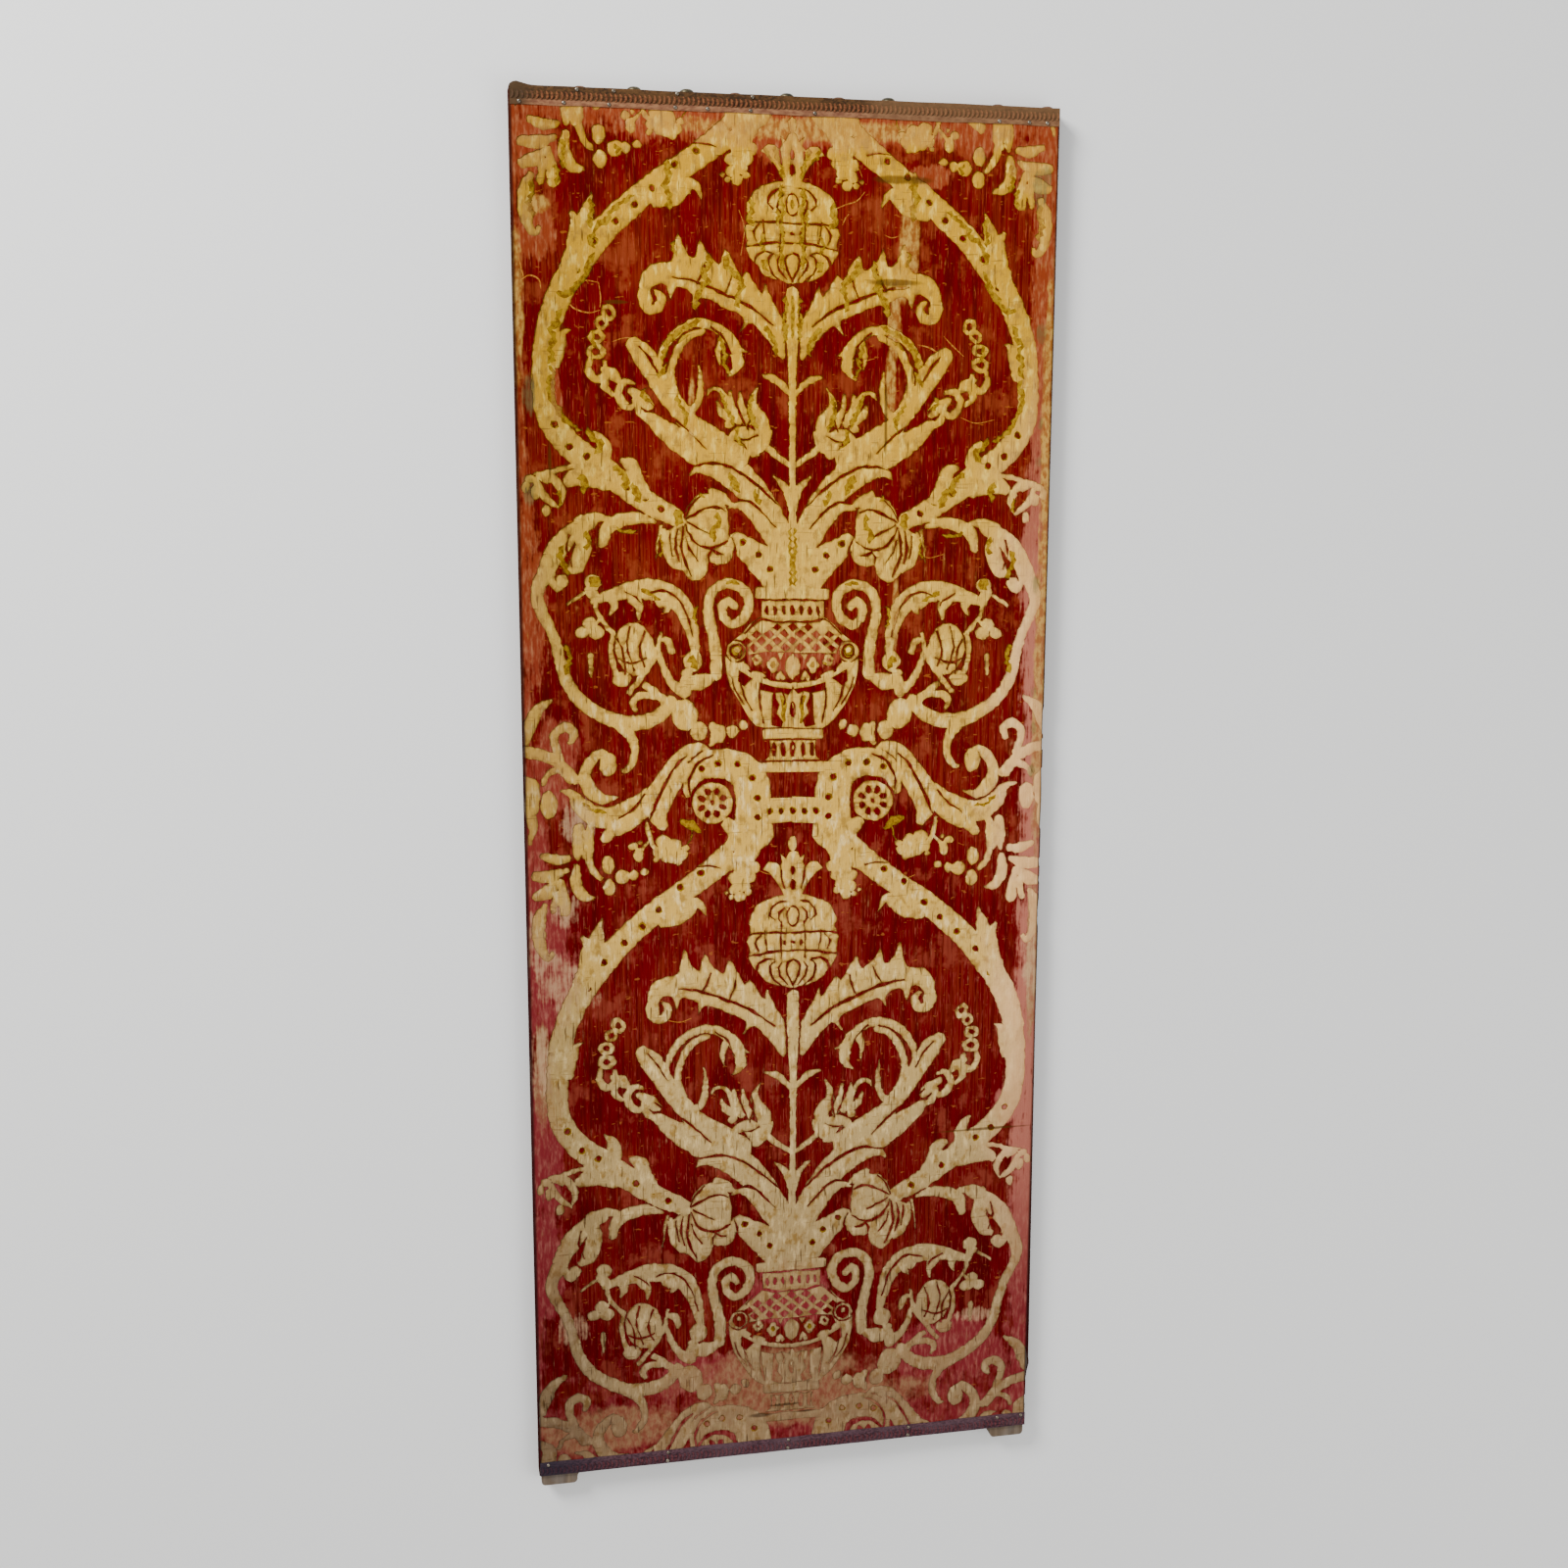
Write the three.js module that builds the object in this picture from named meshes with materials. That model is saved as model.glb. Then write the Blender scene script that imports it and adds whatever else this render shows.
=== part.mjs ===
// Cut velvet panel: one length of figured velvet stretched over a plain wooden leaf with two feet.
// The velvet is turned over both sides and the top. A ribbed braid covers its raw edge at the foot
// and runs along the head, where domed nails hold it to the top edge of the leaf.
// The panel lies on its back. X runs across it, Y up it and Z out of its face, all in millimetres.
import * as THREE from "three";
import { mergeVertices } from "three/addons/utils/BufferGeometryUtils.js";

// Driving dimensions, in millimetres. Heights run up the panel from the lower edge of the velvet.
const FACE_WIDTH = 610;
const FACE_HEIGHT = 1590;
const GAP = 0.3;

const WOOD_DEPTH = 20;
const STILE_WIDTH = 43;
const RAIL_WIDTH = 60;
const FOOT_DROP = 14;
const FOOT_CORNER = 5;
const FOOT_COVE = 6;

const CLOTH = 1.5;
const CLOTH_EDGE_RADIUS = 2;
const EDGE_TURNS = [30, 60, 90];
const WALL_LEVELS = [15, 10, 5, 1];
const CLOTH_STEP = 50;
const TENSION_MARGIN = 45;
const WAVE = { height: 0.7, across: 48, up: 84, slant: 260, drift: 190 };
const CREASE = { x: 138, low: 1330, high: 1520, width: 14, height: 0.8 };
const SLACK = { height: 82, length: 17, bulge: 6, rows: 6, spacing: 11 };

const BRAID = 1.2;
const RIBS = 117;
const RIB_RISE = 1.2;
const HEAD_BRAID = { height: 19.5, bandLow: 5.5, bandHigh: 14 };
const FOOT_BRAID = { height: 17, bandLow: 2, bandHigh: 11 };
const BRAID_MARGIN = 22;
const HEAD_BRAID_BACK = 2;
const CORNER_LUMP = { rise: 6.5, front: 0.6, width: 13 };

const NAIL = { radius: 8, height: 4.5, back: 12 };
const LOW_NAIL = { radius: 7, height: 2.6, back: 12 };
const TACK = { radius: 2.2, height: 1.3 };
const DOME = [{ out: 1, up: 0 }, { out: 0.93, up: 0.42 }, { out: 0.6, up: 0.83 }];

// Places from the left edge of the panel.
const NAILS = [133, 190, 300, 414];
const LOW_NAILS = [75, 243, 358, 540, 598];
const HEAD_TACKS_LOW = [10, 57, 105, 176, 211, 258, 329, 539, 574, 595];
const HEAD_TACKS_HIGH = [71, 110, 178, 260];
const FOOT_TACKS_HIGH = [10, 155, 304, 457, 573, 604];
const FOOT_TACKS_LOW = [154, 303, 456];

// Heights and levels worked out from them.
const HALF = FACE_WIDTH / 2;
const CLOTH_TOP = FACE_HEIGHT - BRAID - GAP;
const WOOD_TOP = CLOTH_TOP - CLOTH - GAP;
const WOOD_SIDE = HALF - CLOTH - GAP;
const CLOTH_FACE = WOOD_DEPTH + GAP + CLOTH;
const BRAID_BACK = CLOTH_FACE + GAP;
const BRAID_FACE = BRAID_BACK + BRAID;

const WOOD_FINISH = new THREE.MeshStandardMaterial({ color: 0x6b5a48, roughness: 0.75 });
const VELVET_FINISH = new THREE.MeshStandardMaterial({ color: 0xa8442f, roughness: 0.9 });
const BRAID_FINISH = new THREE.MeshStandardMaterial({ color: 0x6e3a34, roughness: 0.85 });
const BRONZE_FINISH = new THREE.MeshStandardMaterial({ color: 0x3b3a2c, roughness: 0.4, metalness: 0.8 });
const BRIGHT_FINISH = new THREE.MeshStandardMaterial({ color: 0xb9b09a, roughness: 0.35, metalness: 0.9 });

const panel = new THREE.Group();

function addMesh(name, geometry, material) {
  const mesh = new THREE.Mesh(geometry, material);
  mesh.name = name;
  panel.add(mesh);
  return mesh;
}

function meshFrom(points, triangles) {
  const geometry = new THREE.BufferGeometry();
  geometry.setAttribute("position", new THREE.Float32BufferAttribute(points.flat(), 3));
  geometry.setIndex(triangles.flat());
  geometry.computeVertexNormals();
  return geometry;
}

// The wooden leaf

function footOutline() {
  const outline = new THREE.Shape();
  const low = FOOT_CORNER - FOOT_DROP;
  outline.moveTo(0, -GAP);
  outline.lineTo(0, low);
  outline.absarc(FOOT_CORNER, low, FOOT_CORNER, Math.PI, Math.PI * 1.5, false);
  outline.absarc(STILE_WIDTH - FOOT_CORNER, low, FOOT_CORNER, Math.PI * 1.5, Math.PI * 2, false);
  outline.lineTo(STILE_WIDTH, -FOOT_COVE);
  outline.absarc(STILE_WIDTH + FOOT_COVE, -FOOT_COVE, FOOT_COVE - GAP, Math.PI, Math.PI / 2, true);
  return outline;
}

function addFoot(name, side) {
  const geometry = new THREE.ExtrudeGeometry(footOutline(), {
    depth: WOOD_DEPTH, bevelEnabled: false, curveSegments: 5,
  });
  const mesh = addMesh(name, geometry, WOOD_FINISH);
  mesh.position.x = side * WOOD_SIDE;
  if (side > 0) {
    mesh.rotation.y = Math.PI;
    mesh.position.z = WOOD_DEPTH;
  }
}

function addBoard(name, width, low, high, middle) {
  const mesh = addMesh(name, new THREE.BoxGeometry(width, high - low, WOOD_DEPTH), WOOD_FINISH);
  mesh.position.set(middle, (low + high) / 2, WOOD_DEPTH / 2);
}

function addLeaf() {
  const stileMiddle = WOOD_SIDE - STILE_WIDTH / 2;
  const railLength = 2 * (WOOD_SIDE - STILE_WIDTH - GAP);
  const railMiddle = WOOD_TOP / 2;
  addBoard("left_stile", STILE_WIDTH, 0, WOOD_TOP, -stileMiddle);
  addBoard("right_stile", STILE_WIDTH, 0, WOOD_TOP, stileMiddle);
  addBoard("top_rail", railLength, WOOD_TOP - RAIL_WIDTH, WOOD_TOP, 0);
  addBoard("middle_rail", railLength, railMiddle - RAIL_WIDTH / 2, railMiddle + RAIL_WIDTH / 2, 0);
  addBoard("bottom_rail", railLength, 0, RAIL_WIDTH, 0);
  addFoot("left_foot", -1);
  addFoot("right_foot", 1);
}

// The velvet

function evenSteps(low, high, step) {
  const count = Math.round((high - low) / step);
  return Array.from({ length: count + 1 }, (_, i) => low + ((high - low) * i) / count);
}

function smooth(t) {
  const s = THREE.MathUtils.clamp(t, 0, 1);
  return s * s * (3 - 2 * s);
}

// How far the stretched face stands proud of the wood: soft waves and one long crease.
function faceRise(x, y) {
  const nearest = Math.min(HALF - Math.abs(x), y, CLOTH_TOP - y) - BRAID_MARGIN;
  const wave = 1 + Math.sin(x / WAVE.across + y / WAVE.slant) * Math.cos(y / WAVE.up - x / WAVE.drift);
  const along = Math.min(y - CREASE.low, CREASE.high - y) / TENSION_MARGIN;
  const across = Math.exp(-(((x - CREASE.x) / CREASE.width) ** 2));
  const crease = CREASE.height * across * smooth(along);
  return (WAVE.height * wave + crease) * smooth(nearest / TENSION_MARGIN);
}

// The slack in the turned cloth low on the right side.
function slackBulge(x, y, level) {
  const along = Math.exp(-(((y - SLACK.height) / SLACK.length) ** 2));
  const down = Math.sin((Math.PI * level) / WOOD_DEPTH);
  return x > 0 ? SLACK.bulge * along * Math.max(down, 0) : 0;
}

// From the face, round the edge and down the side: the way out, the way down and the slope.
function turnedEdge() {
  const bend = EDGE_TURNS.map((degrees) => {
    const angle = THREE.MathUtils.degToRad(degrees);
    return {
      out: CLOTH_EDGE_RADIUS * Math.sin(angle),
      level: CLOTH_FACE - CLOTH_EDGE_RADIUS * (1 - Math.cos(angle)),
      sideways: Math.sin(angle),
      upwards: Math.cos(angle),
    };
  });
  const wall = WALL_LEVELS.map((level) => (
    { out: CLOTH_EDGE_RADIUS, level, sideways: 1, upwards: 0 }
  ));
  return [...bend, ...wall];
}

// Rows of points up the velvet: flat under both braids, and closer together at the slack.
function velvetRows() {
  const slackLow = SLACK.height - (SLACK.rows / 2) * SLACK.spacing;
  const slackHigh = SLACK.height + (SLACK.rows / 2) * SLACK.spacing;
  return [
    0,
    BRAID_MARGIN,
    ...evenSteps(slackLow, slackHigh, SLACK.spacing),
    ...evenSteps(slackHigh, CLOTH_TOP - BRAID_MARGIN, CLOTH_STEP).slice(1),
    CLOTH_TOP - CLOTH_EDGE_RADIUS,
  ];
}

// The outer and inner skins of the cloth are built together, then joined along their free edges.
function addVelvet() {
  const inset = HALF - CLOTH_EDGE_RADIUS;
  const columns = evenSteps(-inset, inset, CLOTH_STEP);
  const rows = velvetRows();
  const outer = [];
  const inner = [];
  const quads = [];
  const put = (x, y, z, normal) => {
    outer.push([x, y, z]);
    inner.push([x - normal[0] * CLOTH, y - normal[1] * CLOTH, z - normal[2] * CLOTH]);
    return outer.length - 1;
  };

  const face = rows.map((y) => columns.map((x) => put(x, y, CLOTH_FACE + faceRise(x, y), [0, 0, 1])));
  for (let j = 0; j < rows.length - 1; j += 1) {
    for (let i = 0; i < columns.length - 1; i += 1) {
      quads.push([face[j][i], face[j][i + 1], face[j + 1][i + 1], face[j + 1][i]]);
    }
  }

  const lastRow = rows.length - 1;
  const lastColumn = columns.length - 1;
  const edge = [
    ...rows.map((y, j) => ({ start: face[j][0], x: -inset, y, side: -1, up: j === lastRow ? 1 : 0 })),
    ...columns.slice(1, -1).map((x, i) => (
      { start: face[lastRow][i + 1], x, y: rows[lastRow], side: 0, up: 1 }
    )),
    ...rows.map((y, j) => ({ start: face[j][lastColumn], x: inset, y, side: 1, up: j === lastRow ? 1 : 0 }))
      .reverse(),
  ];
  let previous = edge.map((point) => point.start);
  turnedEdge().forEach((step) => {
    const ring = edge.map((point) => put(
      point.x + point.side * step.out + point.side * slackBulge(point.side, point.y, step.level),
      point.y + point.up * step.out,
      step.level,
      [point.side * step.sideways, point.up * step.sideways, step.upwards],
    ));
    for (let k = 0; k < edge.length - 1; k += 1) {
      quads.push([previous[k], previous[k + 1], ring[k + 1], ring[k]]);
    }
    previous = ring;
  });
  addMesh("velvet", thickened(outer, inner, quads), VELVET_FINISH);
}

function thickened(outer, inner, quads) {
  const shift = outer.length;
  const triangles = [];
  const free = new Map();
  quads.forEach(([a, b, c, d]) => {
    triangles.push([a, b, c], [a, c, d]);
    triangles.push([shift + a, shift + c, shift + b], [shift + a, shift + d, shift + c]);
    [[a, b], [b, c], [c, d], [d, a]].forEach(([from, to]) => {
      if (!free.delete(`${to} ${from}`)) free.set(`${from} ${to}`, [from, to]);
    });
  });
  free.forEach(([from, to]) => {
    triangles.push([from, shift + from, to], [to, shift + from, shift + to]);
  });
  return meshFrom([...outer, ...inner], triangles);
}

// The braids

// A solid through like sections along X. Each section lists its points as [height, level].
function sweptAcross(sections) {
  const count = sections[0].outline.length;
  const points = sections.flatMap(({ x, outline }) => outline.map(([y, z]) => [x, y, z]));
  const triangles = [];
  for (let s = 0; s < sections.length - 1; s += 1) {
    for (let k = 0; k < count; k += 1) {
      const next = (k + 1) % count;
      const here = s * count;
      const there = here + count;
      triangles.push([here + k, there + next, here + next], [here + k, there + k, there + next]);
    }
  }
  const capOf = (index) => THREE.ShapeUtils.triangulateShape(
    sections[index].outline.map(([y, z]) => new THREE.Vector2(y, z)), [],
  );
  const last = sections.length - 1;
  capOf(0).forEach(([a, b, c]) => triangles.push([a, b, c].reverse()));
  capOf(last).forEach(([a, b, c]) => triangles.push([a, b, c].map((index) => last * count + index)));
  return meshFrom(points, triangles);
}

function braidColumns() {
  const columns = evenSteps(-HALF + GAP, HALF - GAP, (FACE_WIDTH - 2 * GAP) / (2 * RIBS));
  return columns.map((x, index) => ({ x, rib: index % 2 === 1 ? RIB_RISE : 0 }));
}

// The band of ribs stands proud of the two plain edges of the braid.
function bandOutline(low, braid, rib) {
  const middle = low + (braid.bandLow + braid.bandHigh) / 2;
  return [
    [low + braid.bandLow, BRAID_FACE],
    [middle, BRAID_FACE + rib],
    [low + braid.bandHigh, BRAID_FACE],
  ];
}

function cornerLump(x) {
  return CORNER_LUMP.rise * Math.exp(-(((x + HALF - GAP) / CORNER_LUMP.width) ** 2));
}

function addHeadBraid() {
  const low = FACE_HEIGHT - HEAD_BRAID.height;
  const sections = braidColumns().map(({ x, rib }) => ({
    x,
    outline: [
      [low, BRAID_BACK],
      [low, BRAID_FACE],
      ...bandOutline(low, HEAD_BRAID, rib),
      [FACE_HEIGHT + CORNER_LUMP.front * cornerLump(x), BRAID_FACE],
      [FACE_HEIGHT + cornerLump(x), HEAD_BRAID_BACK],
      [FACE_HEIGHT - BRAID, HEAD_BRAID_BACK],
      [FACE_HEIGHT - BRAID, BRAID_BACK],
    ],
  }));
  addMesh("head_braid", sweptAcross(sections), BRAID_FINISH);
}

function addFootBraid() {
  const sections = braidColumns().map(({ x, rib }) => ({
    x,
    outline: [
      [0, BRAID_BACK],
      [0, BRAID_FACE],
      ...bandOutline(0, FOOT_BRAID, rib),
      [FOOT_BRAID.height, BRAID_FACE],
      [FOOT_BRAID.height, BRAID_BACK],
    ],
  }));
  addMesh("foot_braid", sweptAcross(sections), BRAID_FINISH);
}

// The nails and tacks

function domeGeometry({ radius, height }, sides) {
  const profile = [
    new THREE.Vector2(0, 0),
    ...DOME.map(({ out, up }) => new THREE.Vector2(radius * out, height * up)),
    new THREE.Vector2(0, height),
  ];
  const lathe = new THREE.LatheGeometry(profile, sides);
  lathe.deleteAttribute("normal");
  lathe.deleteAttribute("uv");
  return mergeVertices(lathe);
}

function addNails(prefix, places, nail) {
  places.forEach((place, index) => {
    const mesh = addMesh(`${prefix}_${index + 1}`, domeGeometry(nail, 12), BRONZE_FINISH);
    mesh.position.set(place - HALF, FACE_HEIGHT + GAP, nail.back);
  });
}

function addTacks(prefix, places, height, level) {
  places.forEach((place, index) => {
    const mesh = addMesh(`${prefix}_${index + 1}`, domeGeometry(TACK, 8), BRIGHT_FINISH);
    mesh.rotation.x = Math.PI / 2;
    mesh.position.set(place - HALF, height, level + GAP);
  });
}

function addFastenings() {
  const headLow = FACE_HEIGHT - HEAD_BRAID.height;
  addNails("nail", NAILS, NAIL);
  addNails("low_nail", LOW_NAILS, LOW_NAIL);
  const headHigh = (headLow + HEAD_BRAID.bandHigh + FACE_HEIGHT) / 2;
  const footHigh = (FOOT_BRAID.bandHigh + FOOT_BRAID.height) / 2;
  const footLow = FOOT_BRAID.bandLow + TACK.radius;
  addTacks("head_tack_low", HEAD_TACKS_LOW, headLow + HEAD_BRAID.bandLow / 2, BRAID_FACE);
  addTacks("head_tack_high", HEAD_TACKS_HIGH, headHigh, BRAID_FACE);
  addTacks("foot_tack_high", FOOT_TACKS_HIGH, footHigh, BRAID_FACE);
  addTacks("foot_tack_low", FOOT_TACKS_LOW, footLow, BRAID_FACE + RIB_RISE);
}

addLeaf();
addVelvet();
addHeadBraid();
addFootBraid();
addFastenings();

// The origin is under the middle of the whole panel, with its feet, corner lump and slack.
const highest = FACE_HEIGHT + CORNER_LUMP.rise;
panel.position.set(-SLACK.bulge / 2, -(highest - FOOT_DROP) / 2, 0);

export default panel;
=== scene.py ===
"""Cut velvet panel: figured velvet stretched over a wooden leaf, with a ribbed braid at head and foot.

The velvet is cut flat as one mesh whose pile stands above its satin ground, then wrapped round the leaf.
Its pattern is drawn in millimetres, half of it, as x from the centre line and v down from the head.
"""
import math
import random

import bpy
import numpy
from mathutils import Matrix, Vector, geometry


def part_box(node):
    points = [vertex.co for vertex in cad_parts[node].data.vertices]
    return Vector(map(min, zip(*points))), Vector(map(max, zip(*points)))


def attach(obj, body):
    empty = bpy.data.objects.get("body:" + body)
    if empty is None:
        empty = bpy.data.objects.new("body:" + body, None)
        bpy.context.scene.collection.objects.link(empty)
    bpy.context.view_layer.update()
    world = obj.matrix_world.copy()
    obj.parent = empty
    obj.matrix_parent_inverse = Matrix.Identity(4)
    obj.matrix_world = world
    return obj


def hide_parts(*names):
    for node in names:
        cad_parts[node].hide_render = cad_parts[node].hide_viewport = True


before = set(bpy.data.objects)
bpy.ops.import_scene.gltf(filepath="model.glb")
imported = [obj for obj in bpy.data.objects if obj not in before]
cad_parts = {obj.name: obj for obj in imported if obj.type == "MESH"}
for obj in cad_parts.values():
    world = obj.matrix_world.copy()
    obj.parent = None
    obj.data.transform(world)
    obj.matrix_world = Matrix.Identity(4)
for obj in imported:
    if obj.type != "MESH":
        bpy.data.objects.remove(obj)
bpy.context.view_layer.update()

# The leaf, its cloth and its braids, in millimetres
MM = 0.001
FACE_WIDTH = 610.0
FACE_HEIGHT = 1590.0
HALF = FACE_WIDTH / 2
BRAID = 1.2
GAP = 0.3
CLOTH = 1.5
CLOTH_TOP = FACE_HEIGHT - BRAID - GAP
CLOTH_FACE = 21.8
RIBS = 117
BRAID_BACK = 22.1
BRAID_FACE = BRAID_BACK + BRAID
HEAD_BRAID = {"height": 19.5, "band_low": 5.5, "band_high": 14.0}
FOOT_BRAID = {"height": 17.0, "band_low": 2.0, "band_high": 11.0}
HEAD_BRAID_BACK = 2.0

# Where the cloth turns over the sides and the top, and its half width and its length when flat
EDGE_RADIUS = 2.0
BEND = EDGE_RADIUS * math.pi / 2
TURNED_DOWN = CLOTH_FACE - EDGE_RADIUS - 1.0
TURN_SIDE = HALF - EDGE_RADIUS
TURN_TOP = CLOTH_TOP - EDGE_RADIUS
FLAT_HALF = TURN_SIDE + BEND + TURNED_DOWN
FLAT_TOP = TURN_TOP + BEND + TURNED_DOWN

# How far ground and pile stand off the cloth's own face, and how much the ground swells between the pile
GROUND_LIFT = -0.5
SWELL = 0.9
PILE_LIFT = 0.6

# The soft waves of the face, kept off the braids, its long crease, and the loose cloth low on the right side
BRAID_MARGIN = 22.0
TENSION_MARGIN = 45.0
WAVE_RISE = 0.7
CREASE = {"x": 138, "half_width": 14, "low": 1330, "high": 1520, "rise": 0.8}
SLACK = {"reach": 8, "height": 84, "length": 20, "depth": 20}

# The repeat of the figure, the place and slant of its centre line, and how unevenly it is woven
REPEAT = 792.0
CENTRE_LINE = -1.0
CENTRE_SLANT = 0.004
WOVEN_WANDER = 0.9

# How finely the cloth and the outlines are cut, and how near two points of the cut are made one
GRID_STEP = 6.0
BACK_STEP = 35.0
OUTLINE_STEP = 4.0
VEIN_STEP = 6.0
SNAP = 0.02

# How wide a stroke's end is rounded off, how fine veins and scratches end, and how wide an eyelet's rim is
ROUND_FROM = 3.5
VEIN_TIP = 0.8
SCRATCH_TIP = 0.6
EYELET_RIM = 1.6

# The names that the cloth's mesh and its finishes share
FLAT_CLOTH = "flat_cloth"
EDGE = "edge"

velvet_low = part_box("velvet")[0]
foot_low, foot_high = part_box("foot_braid")
CENTRE_X = (foot_low[0] + foot_high[0]) / 2
LOW_Y = velvet_low[1]


def in_row(x, y, z):
    """A place on the leaf, in millimetres from its centre line, lower edge and back, in the row frame."""
    return Vector((CENTRE_X + x * MM, LOW_Y + y * MM, z * MM))


# Outlines of the pattern

def spline(points, closed=False, step=OUTLINE_STEP):
    """A smooth line through the points."""
    count = len(points)
    line = []
    for i in range(count if closed else count - 1):
        start, end = points[i], points[(i + 1) % count]
        if closed:
            before, after = points[i - 1], points[(i + 2) % count]
        else:
            before = points[i - 1] if i else mirrored(end, start)
            after = points[i + 2] if i + 2 < count else mirrored(start, end)
        parts = max(1, round(math.dist(start, end) / step))
        for k in range(parts):
            line.append(tuple(
                curve_value(*values, k / parts) for values in zip(before, start, end, after)
            ))
    return line if closed else line + [points[-1]]


def mirrored(point, centre):
    """The point as far beyond the centre as it is before it."""
    return (2 * centre[0] - point[0], 2 * centre[1] - point[1])


def curve_value(a, b, c, d, t):
    """The value at t between b and c on the smooth curve through all four."""
    bend = 2 * a - 5 * b + 4 * c - d
    twist = 3 * b - a - 3 * c + d
    return 0.5 * (2 * b + (c - a) * t + bend * t * t + twist * t ** 3)


def widths_along(points, widths, step):
    """The stroke's width at each point of its spline."""
    result = []
    for (start, end), (low, high) in zip(zip(points, points[1:]), zip(widths, widths[1:])):
        parts = max(1, round(math.dist(start, end) / step))
        result += [low + (high - low) * k / parts for k in range(parts)]
    return result + [widths[-1]]


def round_end(centre, outward, width):
    """Three points round the blunt end of a stroke."""
    angle = math.atan2(outward[1], outward[0])
    return [
        (centre[0] + width / 2 * math.cos(angle + turn), centre[1] + width / 2 * math.sin(angle + turn))
        for turn in (0.9, 0, -0.9)
    ]


def stroke(points, widths, step=OUTLINE_STEP):
    """The outline of a brush stroke: rounded at a wide end, and pointed where it thins out."""
    line = spline(points, step=step)
    left, right = [], []
    for i, width in enumerate(widths_along(points, widths, step)):
        before, after = line[max(i - 1, 0)], line[min(i + 1, len(line) - 1)]
        along = Vector(after) - Vector(before)
        across = Vector((-along.y, along.x)).normalized() * width / 2
        left.append((line[i][0] + across.x, line[i][1] + across.y))
        right.append((line[i][0] - across.x, line[i][1] - across.y))
    tip, tail = [], []
    if widths[-1] > ROUND_FROM:
        tip = round_end(line[-1], (line[-1][0] - line[-2][0], line[-1][1] - line[-2][1]), widths[-1])
    if widths[0] > ROUND_FROM:
        tail = round_end(line[0], (line[0][0] - line[1][0], line[0][1] - line[1][1]), widths[0])
    return left + tip + right[::-1] + tail


def oval(x, v, across, down=None, turn=0.0):
    """An oval by its middle and its half widths, turned by some degrees."""
    down = down or across
    count = max(6, round(math.pi * (across + down) / OUTLINE_STEP))
    cosine, sine = math.cos(math.radians(turn)), math.sin(math.radians(turn))
    ring = []
    for k in range(count):
        angle = math.tau * k / count
        p, q = across * math.cos(angle), down * math.sin(angle)
        ring.append((x + cosine * p - sine * q, v + sine * p + cosine * q))
    return ring


def band(half, low, high):
    """A bar across the centre line, with its corners taken off."""
    return [(half, low + 2), (half - 2, low), (-1, low), (-1, high), (half - 2, high), (half, high - 2)]


PILE, SATIN, OCHRE, BACK, SCRATCH = range(5)
BOTH_REPEATS, UPPER_REPEAT = (-1, 0, 1), (0,)
figure = []


def satin(outline):
    figure.append((SATIN, outline, BOTH_REPEATS))


def pile(outline):
    figure.append((PILE, outline, BOTH_REPEATS))


def ochre(outline, repeats=BOTH_REPEATS):
    figure.append((OCHRE, outline, repeats))


def leaf(*points):
    """A satin stroke through points that each give x, v and the stroke's width there."""
    satin(stroke([point[:2] for point in points], [point[2] for point in points]))


def vein(points, width=2.0):
    """A thin line of pile."""
    pile(stroke(points, [VEIN_TIP] + [width] * (len(points) - 2) + [VEIN_TIP], VEIN_STEP))


def eyelets(places, radius=3.1):
    """Small round holes with an ochre rim."""
    for x, v in places:
        ochre(oval(x, v, radius + EYELET_RIM))
        pile(oval(x, v, radius))


# The figure, one repeat of its left half

def strap():
    """The broad strap that frames each repeat, with its leaves and its eyelets."""
    leaf(
        (38, 20, 34), (62, 36, 32), (93, 60, 28), (124, 82, 27), (158, 105, 27), (202, 142, 28),
        (236, 182, 29), (256, 213, 28), (270, 250, 27), (276, 290, 26), (277, 325, 25), (270, 353, 27),
        (250, 379, 29), (222, 400, 30), (192, 422, 26), (160, 444, 24), (132, 458, 20),
    )
    eyelets([(107, 64), (131, 79), (156, 104), (175, 122), (196, 140), (220, 161), (239, 191)])
    eyelets([(266, 357), (250, 381), (231, 392), (209, 407), (187, 425), (167, 436), (149, 449)])
    leaf((221, 110, 1), (226, 128, 14), (232, 150, 24), (242, 178, 24), (256, 205, 16))
    leaf((243, 132, 6), (238, 142, 14), (240, 165, 20))
    leaf((152, 118, 14), (132, 112, 20), (117, 100, 18), (108, 100, 10), (101, 114, 1))
    vein([(112, 57), (98, 56), (84, 59)], 1.2)
    vein([(60, 60), (64, 46), (76, 34)], 2.2)
    leaf((246, 254, 1), (254, 257, 8), (259, 270, 14), (264, 290, 14))
    leaf((224, 364, 3), (216, 372, 12), (212, 385, 18), (214, 402, 18))
    leaf((192, 396, 8), (182, 402, 18), (178, 416, 20), (168, 432, 16))
    leaf((252, 418, 14), (243, 414, 20), (228, 412, 26), (210, 416, 26))
    leaf((240, 402, 6), (256, 404, 6), (270, 408, 6), (290, 411, 3))
    leaf((283, 413, 8), (270, 416, 14), (261, 424, 10), (258, 434, 8), (262, 446, 2))
    leaf((286, 420, 8), (280, 432, 9), (271, 441, 8), (262, 447, 3))
    for x, v, across, down in ((292, 416, 7, 5), (288, 430, 6, 8), (298, 424, 5, 7), (276, 450, 5, 7)):
        satin(oval(x, v, across, down))
    pile(oval(270, 425, 3.5, 5))


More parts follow.
